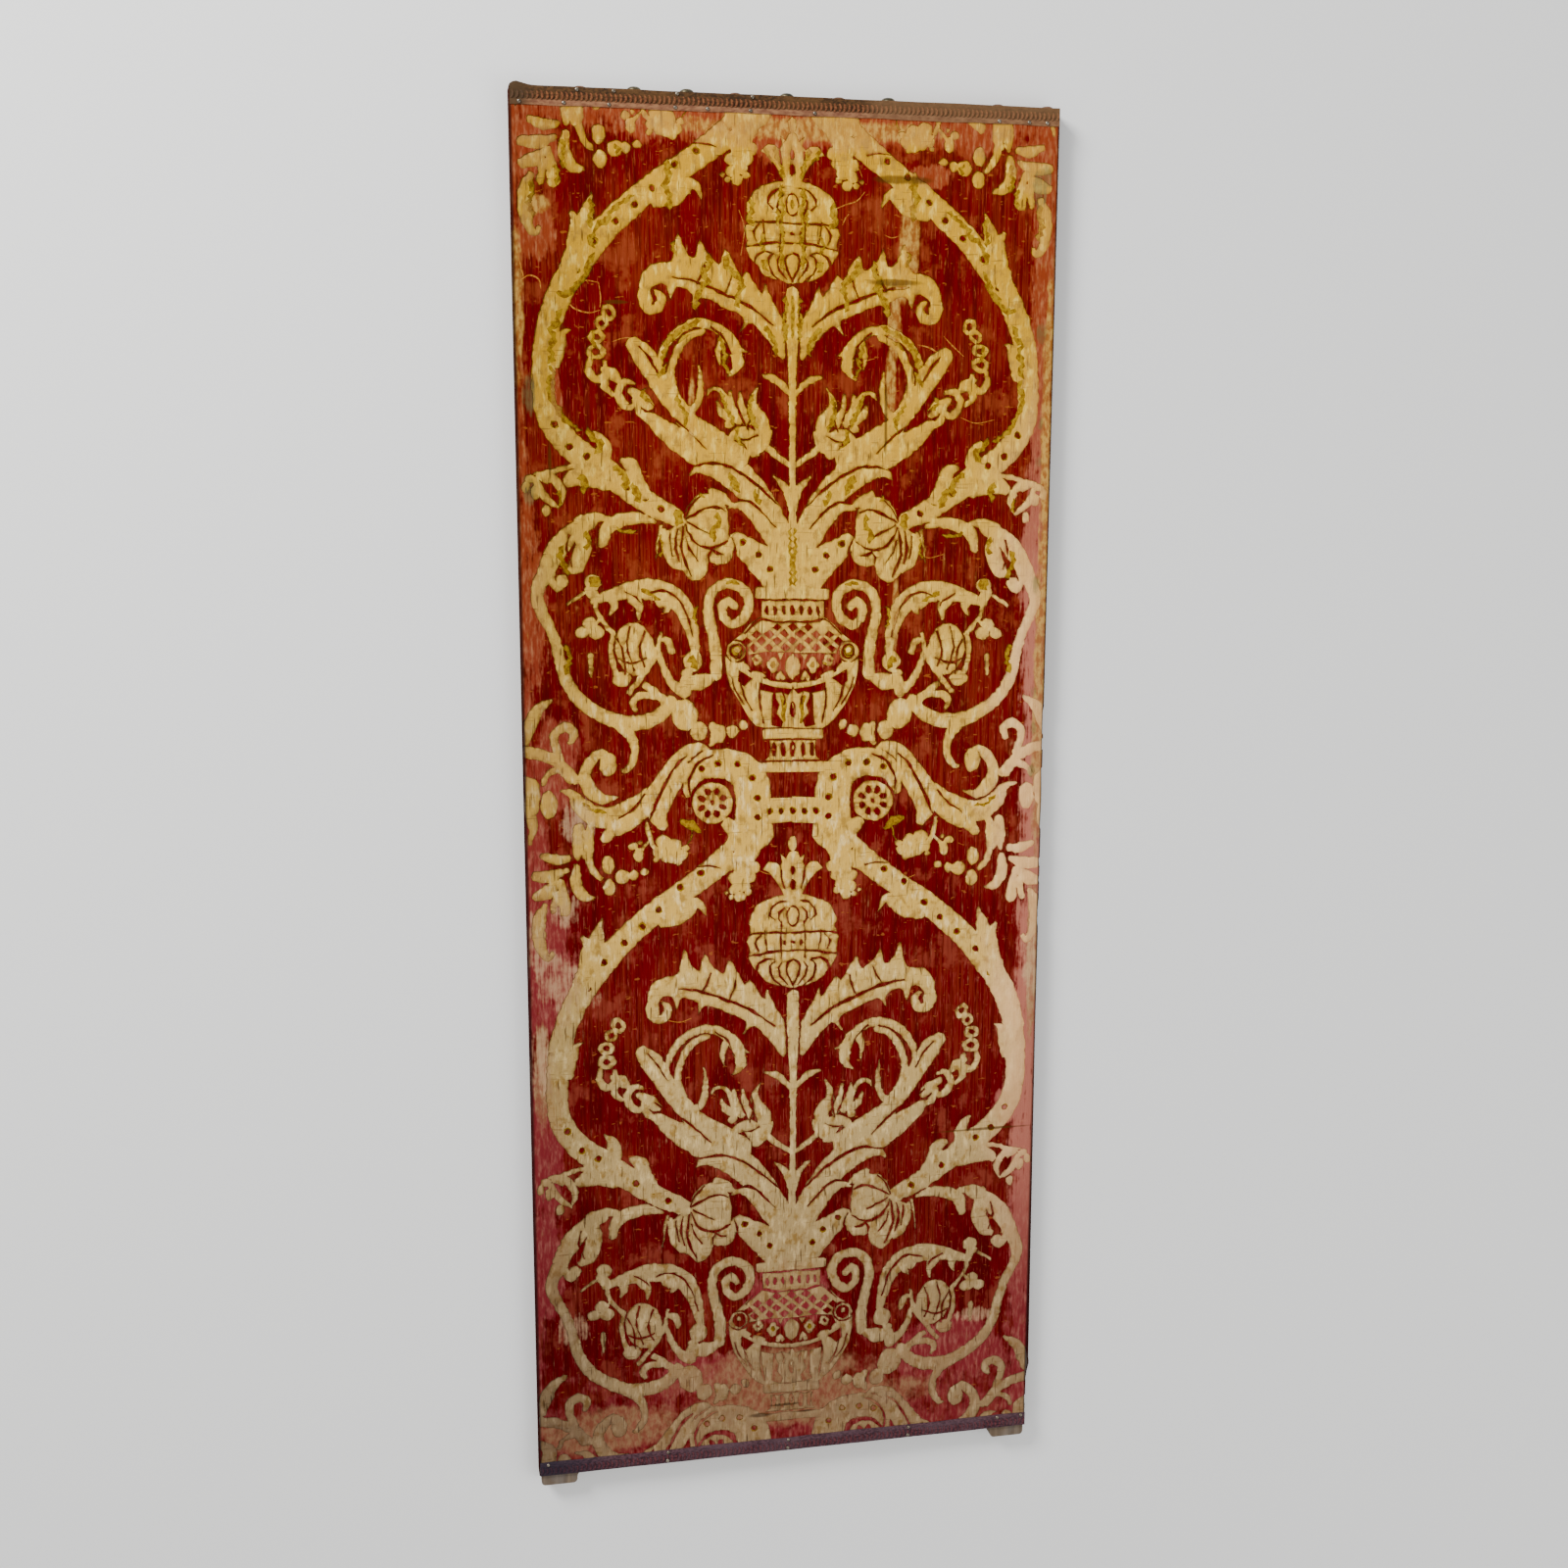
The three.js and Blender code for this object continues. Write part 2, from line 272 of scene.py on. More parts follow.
def corner_sprig():
    """A flower of four petals and a fan of leaves outside the strap."""
    leaf((232, 8, 9), (233, 28, 10), (234, 42, 9), (229, 56, 8), (221, 65, 6))
    leaf((244, 8, 14), (246, 26, 15), (247, 40, 7))
    satin(oval(213, 50, 7.5, 11))
    satin(oval(212, 75.5, 7.5, 10))
    satin(oval(196, 64, 9, 8.5))
    satin(oval(184, 63, 5.5, 6.5))
    satin(oval(171.5, 59.5, 5.5, 4.5))
    leaf((248, 51, 9), (250, 63, 14), (248, 75, 14), (240, 85, 13), (230, 87, 4))
    leaf((286, 37, 8), (271, 42, 14), (258, 41, 9))
    leaf((295, 60, 12), (276, 60, 16), (259, 54, 6))
    leaf((294, 82, 12), (282, 78, 17), (269, 68, 8))
    leaf((266, 66, 6), (264, 84, 13), (262, 100, 14))
    leaf((272, 80, 9), (276, 100, 8))
    leaf((286, 94, 8), (292, 109, 16), (293, 129, 16), (290, 145, 12), (283, 155, 7), (278, 149, 5))
    satin(oval(279, 149, 3.5, 4))


def pineapple():
    half = [(0, 92), (16, 93), (38, 101), (47, 110), (52, 122), (50, 132), (54, 146), (51, 158), (52, 166),
            (46, 178), (40, 184), (34, 192), (22, 198), (0, 203)]
    satin(spline(half) + spline([(-1, 203), (-1, 92)]))
    crown = [(0, 42), (5, 43), (8, 50), (14, 45), (12, 55), (15, 60), (20, 55), (28, 54), (36, 63),
             (28, 67), (20, 76), (13, 88), (9, 99), (0, 101)]
    satin(crown + [(-1, 101), (-1, 42)])
    satin(oval(0, 34, 5, 9))
    pile(oval(0, 65, 2, 5))
    pile(oval(0, 81, 3, 6))
    vein([(14, 60), (13, 72), (10, 86)], 1.2)
    scale(0, 118, 6, 11)
    for width, *points in (
        (2.0, (8, 100), (18, 102), (26, 110), (27, 117), (21, 123)),
        (1.6, (10, 108), (16, 114), (17, 121), (13, 127)),
        (1.0, (13, 124), (14, 140), (14, 168)),
        (1.0, (33, 134), (32, 148), (30, 158)),
        (1.8, (52, 139), (42, 137), (20, 137), (-1, 138)),
        (2.2, (52, 163), (40, 162), (24, 159), (-1, 159)),
        (1.4, (38, 139), (44, 148), (40, 158)),
        (2.0, (0, 170), (6, 172), (8, 182), (4, 192), (0, 200)),
        (2.0, (13, 172), (17, 178), (15, 188), (6, 199)),
        (1.6, (20, 170), (27, 176), (24, 190), (12, 201)),
        (2.0, (22, 169), (32, 168), (40, 172), (43, 182), (36, 192)),
    ):
        vein(points, width)
    pile(oval(0, 149, 2.4, 1))
    pile(oval(10, 149.5, 1.7, 3))


def scale(x, v, width, height):
    """One scale, drawn by the line of pile round it, with an ochre middle."""
    pile(oval(x, v, width + 1.2, height + 1.2))
    satin(oval(x, v, width, height))
    ochre(oval(x, v, width * 0.3, height * 0.5), UPPER_REPEAT)


def acanthus():
    """The two toothed leaves under the pineapple."""
    satin(spline(
        [(10, 285), (30, 262), (47, 246), (60, 256), (56, 240), (80, 228), (92, 222), (104, 219),
         (112, 229), (113, 215), (130, 208), (137, 222), (142, 206), (152, 206), (158, 212), (157, 226),
         (168, 232),
         (172, 216), (169, 196), (158, 184), (140, 181), (134, 176), (128, 151), (119, 170), (110, 176),
         (104, 158), (96, 171), (82, 182), (76, 167), (66, 180), (57, 196), (51, 190), (42, 204), (34, 214),
         (31, 203), (24, 218), (14, 236), (9, 250)], closed=True,
    ))
    leaf((163, 205, 10), (168, 218, 12), (162, 231, 12), (151, 230, 12), (147, 219, 10), (153, 213, 5))
    vein([(134, 197), (108, 202), (78, 214), (48, 228), (22, 248)], 2.8)
    vein([(108, 204), (100, 190), (96, 180)], 1.6)
    vein([(76, 214), (70, 200), (68, 190)], 1.6)


def stem():
    leaf((0, 212, 14), (0, 250, 15), (0, 300, 9), (0, 332, 8), (0, 400, 7), (0, 470, 9), (0, 540, 14))
    ochre(stroke([(0, 216), (0, 240), (0, 262)], [2, 5, 2]), UPPER_REPEAT)
    satin(oval(0, 333, 5.5, 4))
    leaf((33, 303, 4), (22, 306, 9), (11, 314, 8), (1, 326, 5))
    leaf((22, 413, 2), (14, 420, 7), (6, 430, 10), (0, 444, 12))
    leaf((10, 432, 2), (4, 440, 8), (0, 450, 10))


def hooked_flower():
    leaf(
        (106, 292, 2), (104, 312, 7), (108, 334, 9), (119, 341, 11), (131, 326, 10), (137, 303, 9),
        (132, 281, 9), (118, 262, 9), (101, 255, 7),
    )
    leaf(
        (150, 298, 4), (146, 277, 9), (132, 258, 10), (112, 247, 10), (93, 248, 11), (77, 257, 12),
        (66, 272, 15), (62, 290, 14),
    )
    leaf((70, 262, 8), (60, 274, 7), (51, 278, 1))
    leaf((62, 286, 12), (66, 298, 8), (74, 303, 2))
    leaf((78, 262, 10), (84, 276, 7), (82, 292, 1))
    vein([(92, 250), (78, 262), (70, 280)], 1.8)


def husk_chain():
    for x, v, across, down, turn in (
        (205, 236, 8, 10, 30), (213, 247, 8, 8, 0), (219, 262, 10, 8, 0), (219, 278, 11, 9, 0),
    ):
        satin(oval(x, v, across, down, turn))
        pile(oval(x, v, across * 0.42, down * 0.42, turn))
    leaf((226, 286, 6), (228, 298, 9), (220, 308, 9), (210, 302, 9), (210, 290, 6))
    leaf((213, 296, 6), (202, 302, 15), (194, 310, 6))
    leaf((206, 303, 6), (211, 315, 10), (202, 324, 5))
    leaf((178, 312, 4), (188, 310, 9), (196, 320, 9), (192, 332, 10), (182, 338, 8), (176, 330, 4))
    leaf((182, 320, 8), (170, 328, 16), (162, 336, 12))
    leaf((178, 330, 6), (172, 344, 10), (164, 348, 4))


def branches():
    """The three pairs of long leaves that rise from the vase."""
    leaf(
        (178, 270, 18), (168, 281, 26), (157, 298, 24), (147, 317, 20), (131, 338, 20), (113, 358, 24),
        (90, 375, 30), (62, 393, 28),
    )
    vein([(172, 272), (160, 286), (150, 304)], 2.4)
    leaf(
        (176, 345, 1), (160, 350, 14), (148, 360, 20), (128, 374, 28), (100, 388, 30), (72, 402, 30),
        (46, 424, 26), (22, 452, 18), (4, 480, 12),
    )
    leaf((127, 384, 10), (117, 392, 12), (112, 398, 6), (102, 396, 12))
    vein([(164, 330), (146, 344), (124, 358), (98, 384)], 2.2)
    leaf(
        (117, 413, 1), (106, 404, 14), (88, 405, 22), (66, 417, 26), (44, 436, 26), (22, 462, 22),
        (4, 492, 14),
    )
    vein([(112, 402), (92, 399), (70, 404), (40, 424), (16, 446)], 2.4)
    leaf((74, 448, 2), (60, 444, 12), (44, 452, 20), (26, 474, 24), (10, 500, 20), (0, 520, 14))
    vein([(74, 442), (54, 440), (38, 450), (20, 470)], 2.2)
    leaf((92, 430, 10), (80, 438, 14), (70, 444, 4))


def carnation():
    leaf((97, 325, 2), (94, 319, 5), (86, 317, 5), (78, 323, 6), (73, 334, 7), (66, 350, 10))
    leaf((86, 331, 3), (81, 343, 10), (72, 350, 9))
    leaf((71, 321, 4), (70, 334, 9), (62, 352, 10))
    leaf((60, 322, 4), (58, 338, 9), (52, 354, 10))
    leaf((39, 314, 1), (45, 326, 7), (45, 338, 12), (36, 354, 19), (34, 372, 16))
    satin(oval(72, 357, 6, 5))
    leaf((76, 376, 2), (66, 368, 12), (54, 367, 18), (42, 378, 24))
    leaf((24, 362, 2), (30, 372, 12), (38, 380, 16))
    satin(oval(44, 384, 9, 9))
    leaf((36, 376, 9), (22, 388, 8), (8, 398, 6), (0, 403, 6))
    vein([(64, 330), (60, 344), (54, 358)], 1.6)
    vein([(50, 330), (48, 346), (52, 362)], 1.8)
    vein([(62, 372), (50, 373), (40, 368)], 1.6)


def bulb():
    """The ribbed bulb on the strap's lower end, and the stalk to the vase."""
    satin(spline(
        [(124, 461), (120, 447), (111, 436), (98, 432), (84, 436), (76, 448), (73, 464), (73, 479),
         (68, 490), (69, 502), (78, 510), (90, 510), (95, 508), (97, 517), (104, 525), (114, 528),
         (122, 521), (130, 512), (138, 508), (143, 497), (147, 484), (150, 476), (141, 471), (132, 466)],
        closed=True,
    ))
    for points, width in (
        ([(123, 459), (117, 446), (106, 435)], 1.8),
        ([(122, 460), (112, 455), (100, 449), (87, 447), (77, 451)], 2.2),
        ([(120, 463), (109, 469), (94, 477)], 1.6),
        ([(122, 466), (117, 478), (110, 486), (100, 491), (88, 491), (74, 484)], 2.2),
        ([(124, 468), (126, 482), (126, 496), (121, 510), (115, 522)], 2.6),
        ([(121, 480), (118, 492), (108, 506)], 1.8),
        ([(131, 470), (133, 482), (133, 492), (129, 506)], 2.4),
        ([(139, 474), (139, 486), (136, 500)], 1.6),
        ([(92, 494), (86, 498), (79, 499)], 3.4),
        ([(95, 508), (96, 500), (92, 493)], 1.8),
    ):
        vein(points, width)
    leaf((150, 468, 5), (153, 486, 3), (155, 505, 1))
    leaf((146, 472, 6), (145, 492, 7), (137, 508, 7), (126, 516, 3))
    leaf((64, 484, 20), (53, 493, 26), (36, 506, 34), (16, 528, 38), (6, 546, 40))
    vein([(70, 480), (66, 490), (66, 500), (70, 508)], 1.8)
    eyelets([(57, 486), (39, 500), (26, 516)], 2.8)


def side_scroll():
    """The round scroll beside the vase."""
    leaf(
        (226, 462, 14), (246, 472, 20), (263, 490, 24), (278, 516, 18), (287, 542, 15), (281, 562, 13),
        (271, 582, 12), (264, 605, 13), (257, 632, 14), (243, 655, 15), (222, 671, 16), (198, 682, 17),
        (171, 683, 18), (150, 674, 16), (139, 660, 14),
    )
    leaf((156, 463, 4), (174, 458, 13), (196, 461, 16), (210, 470, 16), (214, 486, 10))
    leaf((204, 460, 5), (222, 457, 11), (240, 462, 14))
    leaf((238, 468, 14), (236, 490, 20), (244, 510, 18), (252, 516, 8))
    leaf((264, 500, 8), (271, 522, 8), (264, 534, 9), (256, 526, 9))
    satin(oval(260, 526, 7, 8))
    vein([(251, 476), (254, 492), (248, 510)])
    leaf((145, 664, 12), (150, 656, 10), (162, 653, 9), (176, 654, 9), (182, 661, 9), (179, 669, 5))
    leaf((202, 684, 10), (188, 694, 13), (181, 708, 10), (182, 724, 9), (190, 736, 8), (196, 736, 3))


def cup_leaf():
    leaf(
        (225, 548, 8), (206, 542, 14), (184, 537, 20), (166, 536, 24), (143, 541, 24), (126, 556, 22),
        (116, 580, 16), (111, 606, 10),
    )
    leaf((204, 544, 14), (202, 556, 8), (207, 564, 1))
    leaf((180, 545, 16), (174, 556, 10), (175, 570, 2))
    leaf((150, 548, 16), (142, 556, 12), (146, 562, 4))
    vein([(164, 541), (148, 538), (134, 545), (122, 562), (114, 590)])
    vein([(190, 538), (178, 545), (172, 552)], 1.6)
    leaf((222, 545, 6), (221, 560, 5), (212, 574, 5), (203, 584, 7))


def rose_bud():
    satin(oval(179, 602, 22, 30, 12))
    satin(oval(194, 635, 11, 9))
    leaf((203, 584, 6), (206, 600, 6), (203, 620, 6), (197, 636, 8))
    vein([(199, 590), (192, 606), (190, 630)], 1.8)
    vein([(184, 576), (188, 600), (180, 626)], 1.8)
    vein([(168, 582), (174, 604), (168, 622)], 1.8)
    vein([(198, 612), (184, 618), (166, 612)], 1.8)
    leaf((150, 583, 3), (154, 604, 7), (162, 620, 7), (176, 638, 7), (186, 650, 6))
    leaf((153, 604, 5), (148, 622, 8), (138, 640, 10), (124, 650, 16))
    leaf((168, 642, 8), (160, 648, 9), (152, 656, 8))
    leaf((138, 606, 8), (142, 594, 9), (150, 592, 5))


def berries_on_stalks():
    satin(oval(229, 573, 8, 8))
    satin(oval(238, 583, 8, 7))
    satin(oval(222, 583, 9, 8))
    leaf((226, 578, 5), (218, 568, 4))
    leaf((228, 608, 7), (228, 630, 4))
    satin(oval(225, 528, 9.5, 9))
    leaf((228, 536, 14), (222, 546, 10))
    leaf((236, 540, 5), (246, 546, 4), (254, 552, 3))
    for x, v, across, down, turn in (
        (124, 676, 15, 18, 20), (107.5, 695, 10, 11, 0), (85, 698, 8, 11, 0), (69.5, 696, 7.5, 7.5, 0),
        (57.5, 689, 5, 6.5, 30), (114, 617, 11, 12, 0), (121, 630, 7, 5, 0),
    ):
        satin(oval(x, v, across, down, turn))
    leaf((93, 688, 8), (88, 698, 14), (94, 710, 6))
    leaf((122, 640, 16), (106, 640, 20), (94, 636, 12))


# The rows of the vase's lattice, as v and the places along x, and the line of its body
LATTICE = ((581, (0, 18)), (588.5, (9, 27, 42)), (596, (0, 18, 36, 52)), (604, (9, 27, 45)))
VASE_BODY = [
    (38, 570), (48, 577), (58, 587), (67, 594), (74, 603), (77, 614), (76, 628), (72, 646), (62, 664),
    (50, 682), (42, 690), (34, 694),
]


def vase():
    satin(band(43, 536, 549))
    satin(band(36, 548, 573))
    satin([(-1, 570), *VASE_BODY, (-1, 694)])
    for x in (0, 10, 20, 29.5):
        pile(oval(x, 562, 2.1, 5.5))
    vein([(-1, 550.5), (20, 550.5), (42, 550)])
    vein([(-1, 575.5), (22, 574.5), (36, 571), (46, 578), (56, 588)], 2.2)
    for v, places in LATTICE:
        for x in places:
            pile([(x, v - 4.6), (x + 5.2, v), (x, v + 4.6), (x - 5.2, v)])
    flower_row()
    vase_bowl()
    satin(band(35, 694, 706))
    satin([(-1, 704), (27, 704), (25, 716), (27, 725), (33, 731), (-1, 731)])
    satin(band(42, 730, 743))
    for x in (0, 11.5, 22):
        pile(oval(x, 717.5, 2.7, 8.5))
    satin(oval(0, 716, 1.2, 3))
    vein([(-1, 707), (16, 707), (33, 706.5)])
    vein([(-1, 731), (20, 731), (41, 731)])


def flower_row():
    """A drop and two flowers under the lattice, and the belt below them."""
    pile([(-1, 610), (30, 609), (52, 611), (57, 622), (48, 634), (26, 642), (-1, 645)])
    satin(spline([(0, 611), (7, 616), (9.5, 624), (7, 633), (0, 640)]) + [(-1, 640), (-1, 611)])
    satin([(9, 610), (18, 610), (14, 618)])
    leaf((11, 638, 5), (14, 631, 4), (17, 638, 6))
    for across, down in ((8, 5), (5.5, 10)):
        satin(oval(23, 623, across, down))
    ochre(oval(23, 623, 3, 4))
    for across, down in ((7.5, 4.5), (5, 7.5)):
        satin(oval(41, 617, across, down, -15))
    pile(oval(42, 617, 1.8, 1.8))
    ochre(oval(37, 621, 2.5, 2), UPPER_REPEAT)
    satin(oval(40, 633, 9, 4, -22))
    satin(oval(55, 624, 7, 3, -40))
    leaf((-1, 647, 7), (20, 644.5, 7), (42, 637.5, 7), (60, 627, 5), (72, 620, 3))


def vase_bowl():
    """Three upright leaves each side of a lobed one, parted by lines of pile."""
    pile([(-1, 650), (20, 648), (38, 643), (38, 650), (22, 654), (12, 653), (5, 656), (-1, 648)])
    pile([(46, 638), (62, 628), (63, 640), (57, 646), (50, 640)])
    vein([(60, 640), (56, 656), (47, 674)], 1.6)
    vein([(38, 648), (38, 664), (34, 688)], 1.8)
    vein([(70, 636), (66, 650), (56, 666)], 1.2)
    pile([
        (20, 650), (23, 656), (23.5, 682), (25, 690), (14, 693), (12, 686), (18, 677), (16, 668), (20, 660),
    ])
    ochre(stroke([(14, 657), (10, 666), (11, 678), (9, 688)], [3, 6, 5, 2]), UPPER_REPEAT)
    vein([(12, 654), (9, 662), (10, 668)], 1.4)
    pile(oval(0, 673, 2.7, 9))
    satin(oval(0, 669, 1.2, 4))


def handle():
    leaf(
        (88, 632, 14), (88, 608, 14), (92, 585, 13), (97, 562, 12), (93, 541, 12), (76, 531, 12),
        (58, 537, 12), (50, 552, 12), (56, 569, 12), (69, 577, 11), (79, 569, 9),
    )
    leaf((79, 570, 9), (81, 557, 11), (74, 550, 11), (67, 557, 9))
    pile(oval(64, 607, 13, 12.5))
    satin(oval(65, 607, 11.5, 11.5))
    pile(oval(64, 607, 8, 8.5))
    ochre(oval(64, 607, 6.4, 7), UPPER_REPEAT)
    vein([(58, 604), (62, 612), (69, 611)], 1.6)
    satin(oval(64.5, 605, 3.4, 3.4))


def edge_scrolls():
    """The scrolls and leaves at the cloth's edge, cut by it."""
    leaf((252, 702, 8), (249, 692, 11), (259, 686, 12), (270, 694, 11), (269, 708, 10), (263, 722, 8))
    leaf((274, 657, 6), (289, 668, 14), (298, 684, 17), (303, 700, 12))
    leaf((305, 712, 14), (286, 716, 13), (266, 726, 13), (248, 744, 12))
    leaf((284, 748, 6), (278, 738, 7), (264, 734, 9), (252, 744, 12))
    leaf((305, 742, 10), (296, 752, 18), (298, 774, 20))
    satin(oval(278, 772, 10, 16))
    leaf((302, 775, 14), (296, 795, 12), (300, 815, 4))


def volute_leaf():
    satin(oval(211, 729, 10, 14))
    leaf(
        (212, 720, 8), (218, 715, 10), (231, 726, 13), (237, 742, 15), (230, 759, 17), (216, 768, 12),
        (200, 765, 2),
    )
    leaf(
        (266, 757, 2), (252, 760, 10), (242, 774, 20), (226, 786, 24), (206, 788, 26), (186, 778, 22),
        (167, 756, 1),
    )
    leaf(
        (215, 812, 12), (207, 803, 16), (190, 796, 18), (172, 780, 20), (156, 757, 18), (141, 738, 18),
        (124, 720, 18), (108, 713, 12), (96, 716, 3),
    )
    leaf((150, 800, 12), (155, 785, 24), (147, 765, 24), (132, 745, 18), (124, 726, 8))
    vein([(200, 790), (184, 780), (170, 764)], 2.2)
    vein([(166, 796), (158, 776), (146, 752), (134, 732), (122, 722)], 2.6)
    leaf((230, 795, 9), (236, 812, 9), (238, 830, 9))


ROSETTE = (93, 776)
ROSETTE_PETALS = 8
PETAL_PLACE = 13.5


def bracket():
    """The bracket under the vase, with its rosette."""
    leaf(
        (121, 764, 10), (115, 744, 24), (100, 733, 32), (79, 732, 34), (60, 739, 38), (49, 754, 42),
        (46, 774, 42), (50, 798, 36), (57, 820, 28),
    )
    vein([(118, 766), (119, 748), (108, 730), (92, 722)], 2.4)
    pile(oval(*ROSETTE, 26.5))
    satin(oval(*ROSETTE, 23.5))
    for k in range(ROSETTE_PETALS):
        angle = 360 / ROSETTE_PETALS * (k + 0.5)
        x = ROSETTE[0] + PETAL_PLACE * math.cos(math.radians(angle))
        v = ROSETTE[1] + PETAL_PLACE * math.sin(math.radians(angle))
        pile(oval(x, v, 4.8, 3.5, angle))
    pile(oval(*ROSETTE, 2.8))
    eyelets([(105, 737), (86, 732), (64, 733), (47, 749), (41, 772), (41, 794)], 3)
    satin([(32, 772), (-1, 772), (-1, 801), (32, 803)])
    for x in (0, 13.5, 27):
        ochre(oval(x, 788, 4.2, 4.8))
        pile(oval(x, 788, 2.6, 3.2))
    leaf((76, 800, 14), (66, 812, 22), (72, 828, 10))
    leaf((45, 815, 26), (52, 830, 28), (60, 846, 26))


def berry_cluster():
    for x, v, radius in (
        (54, 54, 10), (60, 64, 9), (52, 70, 9), (68, 71, 8), (58, 80, 9), (68, 84, 7), (62, 93, 7),
        (72, 93, 4), (52, 88, 5), (78, 88, 3), (46, 60, 8),
    ):
        satin(oval(x, v, radius, radius * 0.9))


def sprig_flower():
    leaf((168, 4, 4), (165, 20, 6), (160, 32, 6), (152, 36, 6))
    leaf((165, 24, 3), (174, 34, 5), (180, 44, 4))
    for x, v, across, down in (
        (184, 30, 6, 5), (178, 40, 6, 9), (176, 26, 3, 3), (150, 26, 9, 8), (155, 38, 7, 7),
        (146, 42, 8, 8), (137, 32, 9, 10), (130, 42, 9, 7), (124, 34, 5, 4), (158, 46, 4, 4),
    ):
        satin(oval(x, v, across, down))
    leaf((150, 34, 12), (138, 44, 16), (132, 50, 8))
    ochre(stroke([(128, 4), (118, 8), (108, 16)], [6, 12, 4]))
    ochre(stroke([(116, 14), (118, 24), (122, 30)], [2, 2, 2]))


def ochre_veins():
    """The ochre weft that shows along the leaves of the upper repeat."""
    for width, *points in (
        (8, (140, 73), (139, 86), (137, 94), (142, 101), (137, 112), (138, 126)),
        (6, (176, 112), (189, 120), (200, 129), (205, 139), (213, 142), (219, 150), (224, 160), (219, 168)),
        (7, (220, 173), (226, 185), (230, 196), (239, 206), (247, 216), (262, 217)),
        (6, (225, 116), (221, 127), (225, 137), (222, 148)),
        (7, (256, 233), (261, 241), (260, 247), (268, 255), (264, 263), (269, 273), (267, 283), (271, 292)),
        (6, (271, 294), (266, 301), (270, 311), (269, 324), (264, 337), (257, 349), (244, 360), (236, 364)),
        (7, (231, 360), (224, 372), (215, 378), (222, 388)),
        (7, (204, 402), (196, 407), (188, 415), (190, 428)),
        (7, (94, 172), (94, 184), (100, 193), (96, 202), (103, 209), (107, 218), (110, 232)),
        (7, (72, 172), (75, 181), (70, 189), (61, 196), (58, 206), (62, 217), (61, 230)),
        (4, (132, 158), (134, 168), (129, 176)),
        (6, (33, 248), (24, 258), (20, 268), (19, 280)),
        (5, (9, 216), (7, 228), (10, 240), (8, 252), (9, 266)),
        (5, (12, 98), (13, 112), (10, 124), (13, 140), (10, 154), (13, 170), (10, 188)),
        (4, (17, 122), (16, 132), (18, 142)), (4, (31, 150), (35, 160), (31, 170)),
        (7, (48, 112), (45, 122), (49, 134), (42, 142)), (8, (28, 176), (32, 184), (28, 190)),
        (5, (20, 56), (17, 68), (12, 80), (10, 92)), (4, (32, 56), (27, 66), (22, 74)),
        (6, (253, 56), (250, 66), (253, 76), (249, 86)), (5, (287, 98), (284, 110), (288, 124), (283, 138)),
        (5, (260, 82), (257, 92), (259, 104)), (5, (197, 60), (192, 66), (194, 72)),
        (7, (147, 288), (143, 274), (137, 262), (126, 254), (115, 248), (103, 243)),
        (4, (129, 268), (123, 262), (116, 258)), (5, (84, 258), (80, 271), (76, 281), (78, 291), (70, 302)),
        (5, (131, 324), (127, 336), (120, 345), (122, 362)), (6, (152, 307), (146, 299), (142, 290)),
        (6, (166, 316), (169, 326), (160, 331)), (5, (221, 254), (223, 266), (219, 276)),
        (5, (82, 318), (77, 334), (71, 346), (68, 358)), (6, (44, 322), (49, 336), (46, 350), (39, 362)),
        (5, (61, 358), (64, 370), (55, 380)), (8, (74, 410), (66, 420), (62, 432)),
        (6, (44, 428), (41, 438), (36, 446)),
        (9, (239, 411), (234, 420), (236, 432)), (4, (263, 428), (260, 438), (263, 448)),
        (8, (182, 419), (177, 430), (173, 443)), (8, (134, 449), (129, 458), (132, 470)),
        (5, (106, 430), (102, 438)), (6, (86, 452), (84, 464), (92, 474), (88, 486)),
        (6, (234, 472), (230, 482), (233, 494)), (4, (200, 468), (188, 473), (176, 472)),
        (6, (258, 488), (261, 500), (256, 510), (252, 522)), (11, (230, 522), (224, 526), (220, 532)),
        (5, (172, 536), (162, 542), (152, 549)), (5, (78, 530), (70, 530), (62, 532)),
        (9, (120, 612), (114, 618), (110, 626)), (6, (256, 596), (252, 610), (256, 628)),
        (4, (110, 556), (112, 568), (108, 578)), (4, (2, 470), (3, 490), (1, 510), (3, 536)),
        (4, (150, 478), (148, 490), (151, 502)), (4, (240, 770), (228, 780), (214, 782)),
    ):
        ochre(ragged(points, width), UPPER_REPEAT)


def ragged(points, width):
    """A jagged stroke, as worn weft shows: it leans one way and the other at each step."""
    wear = random.Random(round(points[0][0] * 7 + points[0][1]))
    line = spline(points)
    widths = [width * wear.uniform(0.65, 1.25) for _ in line]
    lean = [(1.3 if i % 2 else -1.3) * wear.uniform(0.3, 1.2) for i in range(len(line))]
    jagged = [(x + shift, v + wear.uniform(-1, 1)) for (x, v), shift in zip(line, lean)]
    return stroke(jagged, [1] + widths[1:-1] + [1], VEIN_STEP)


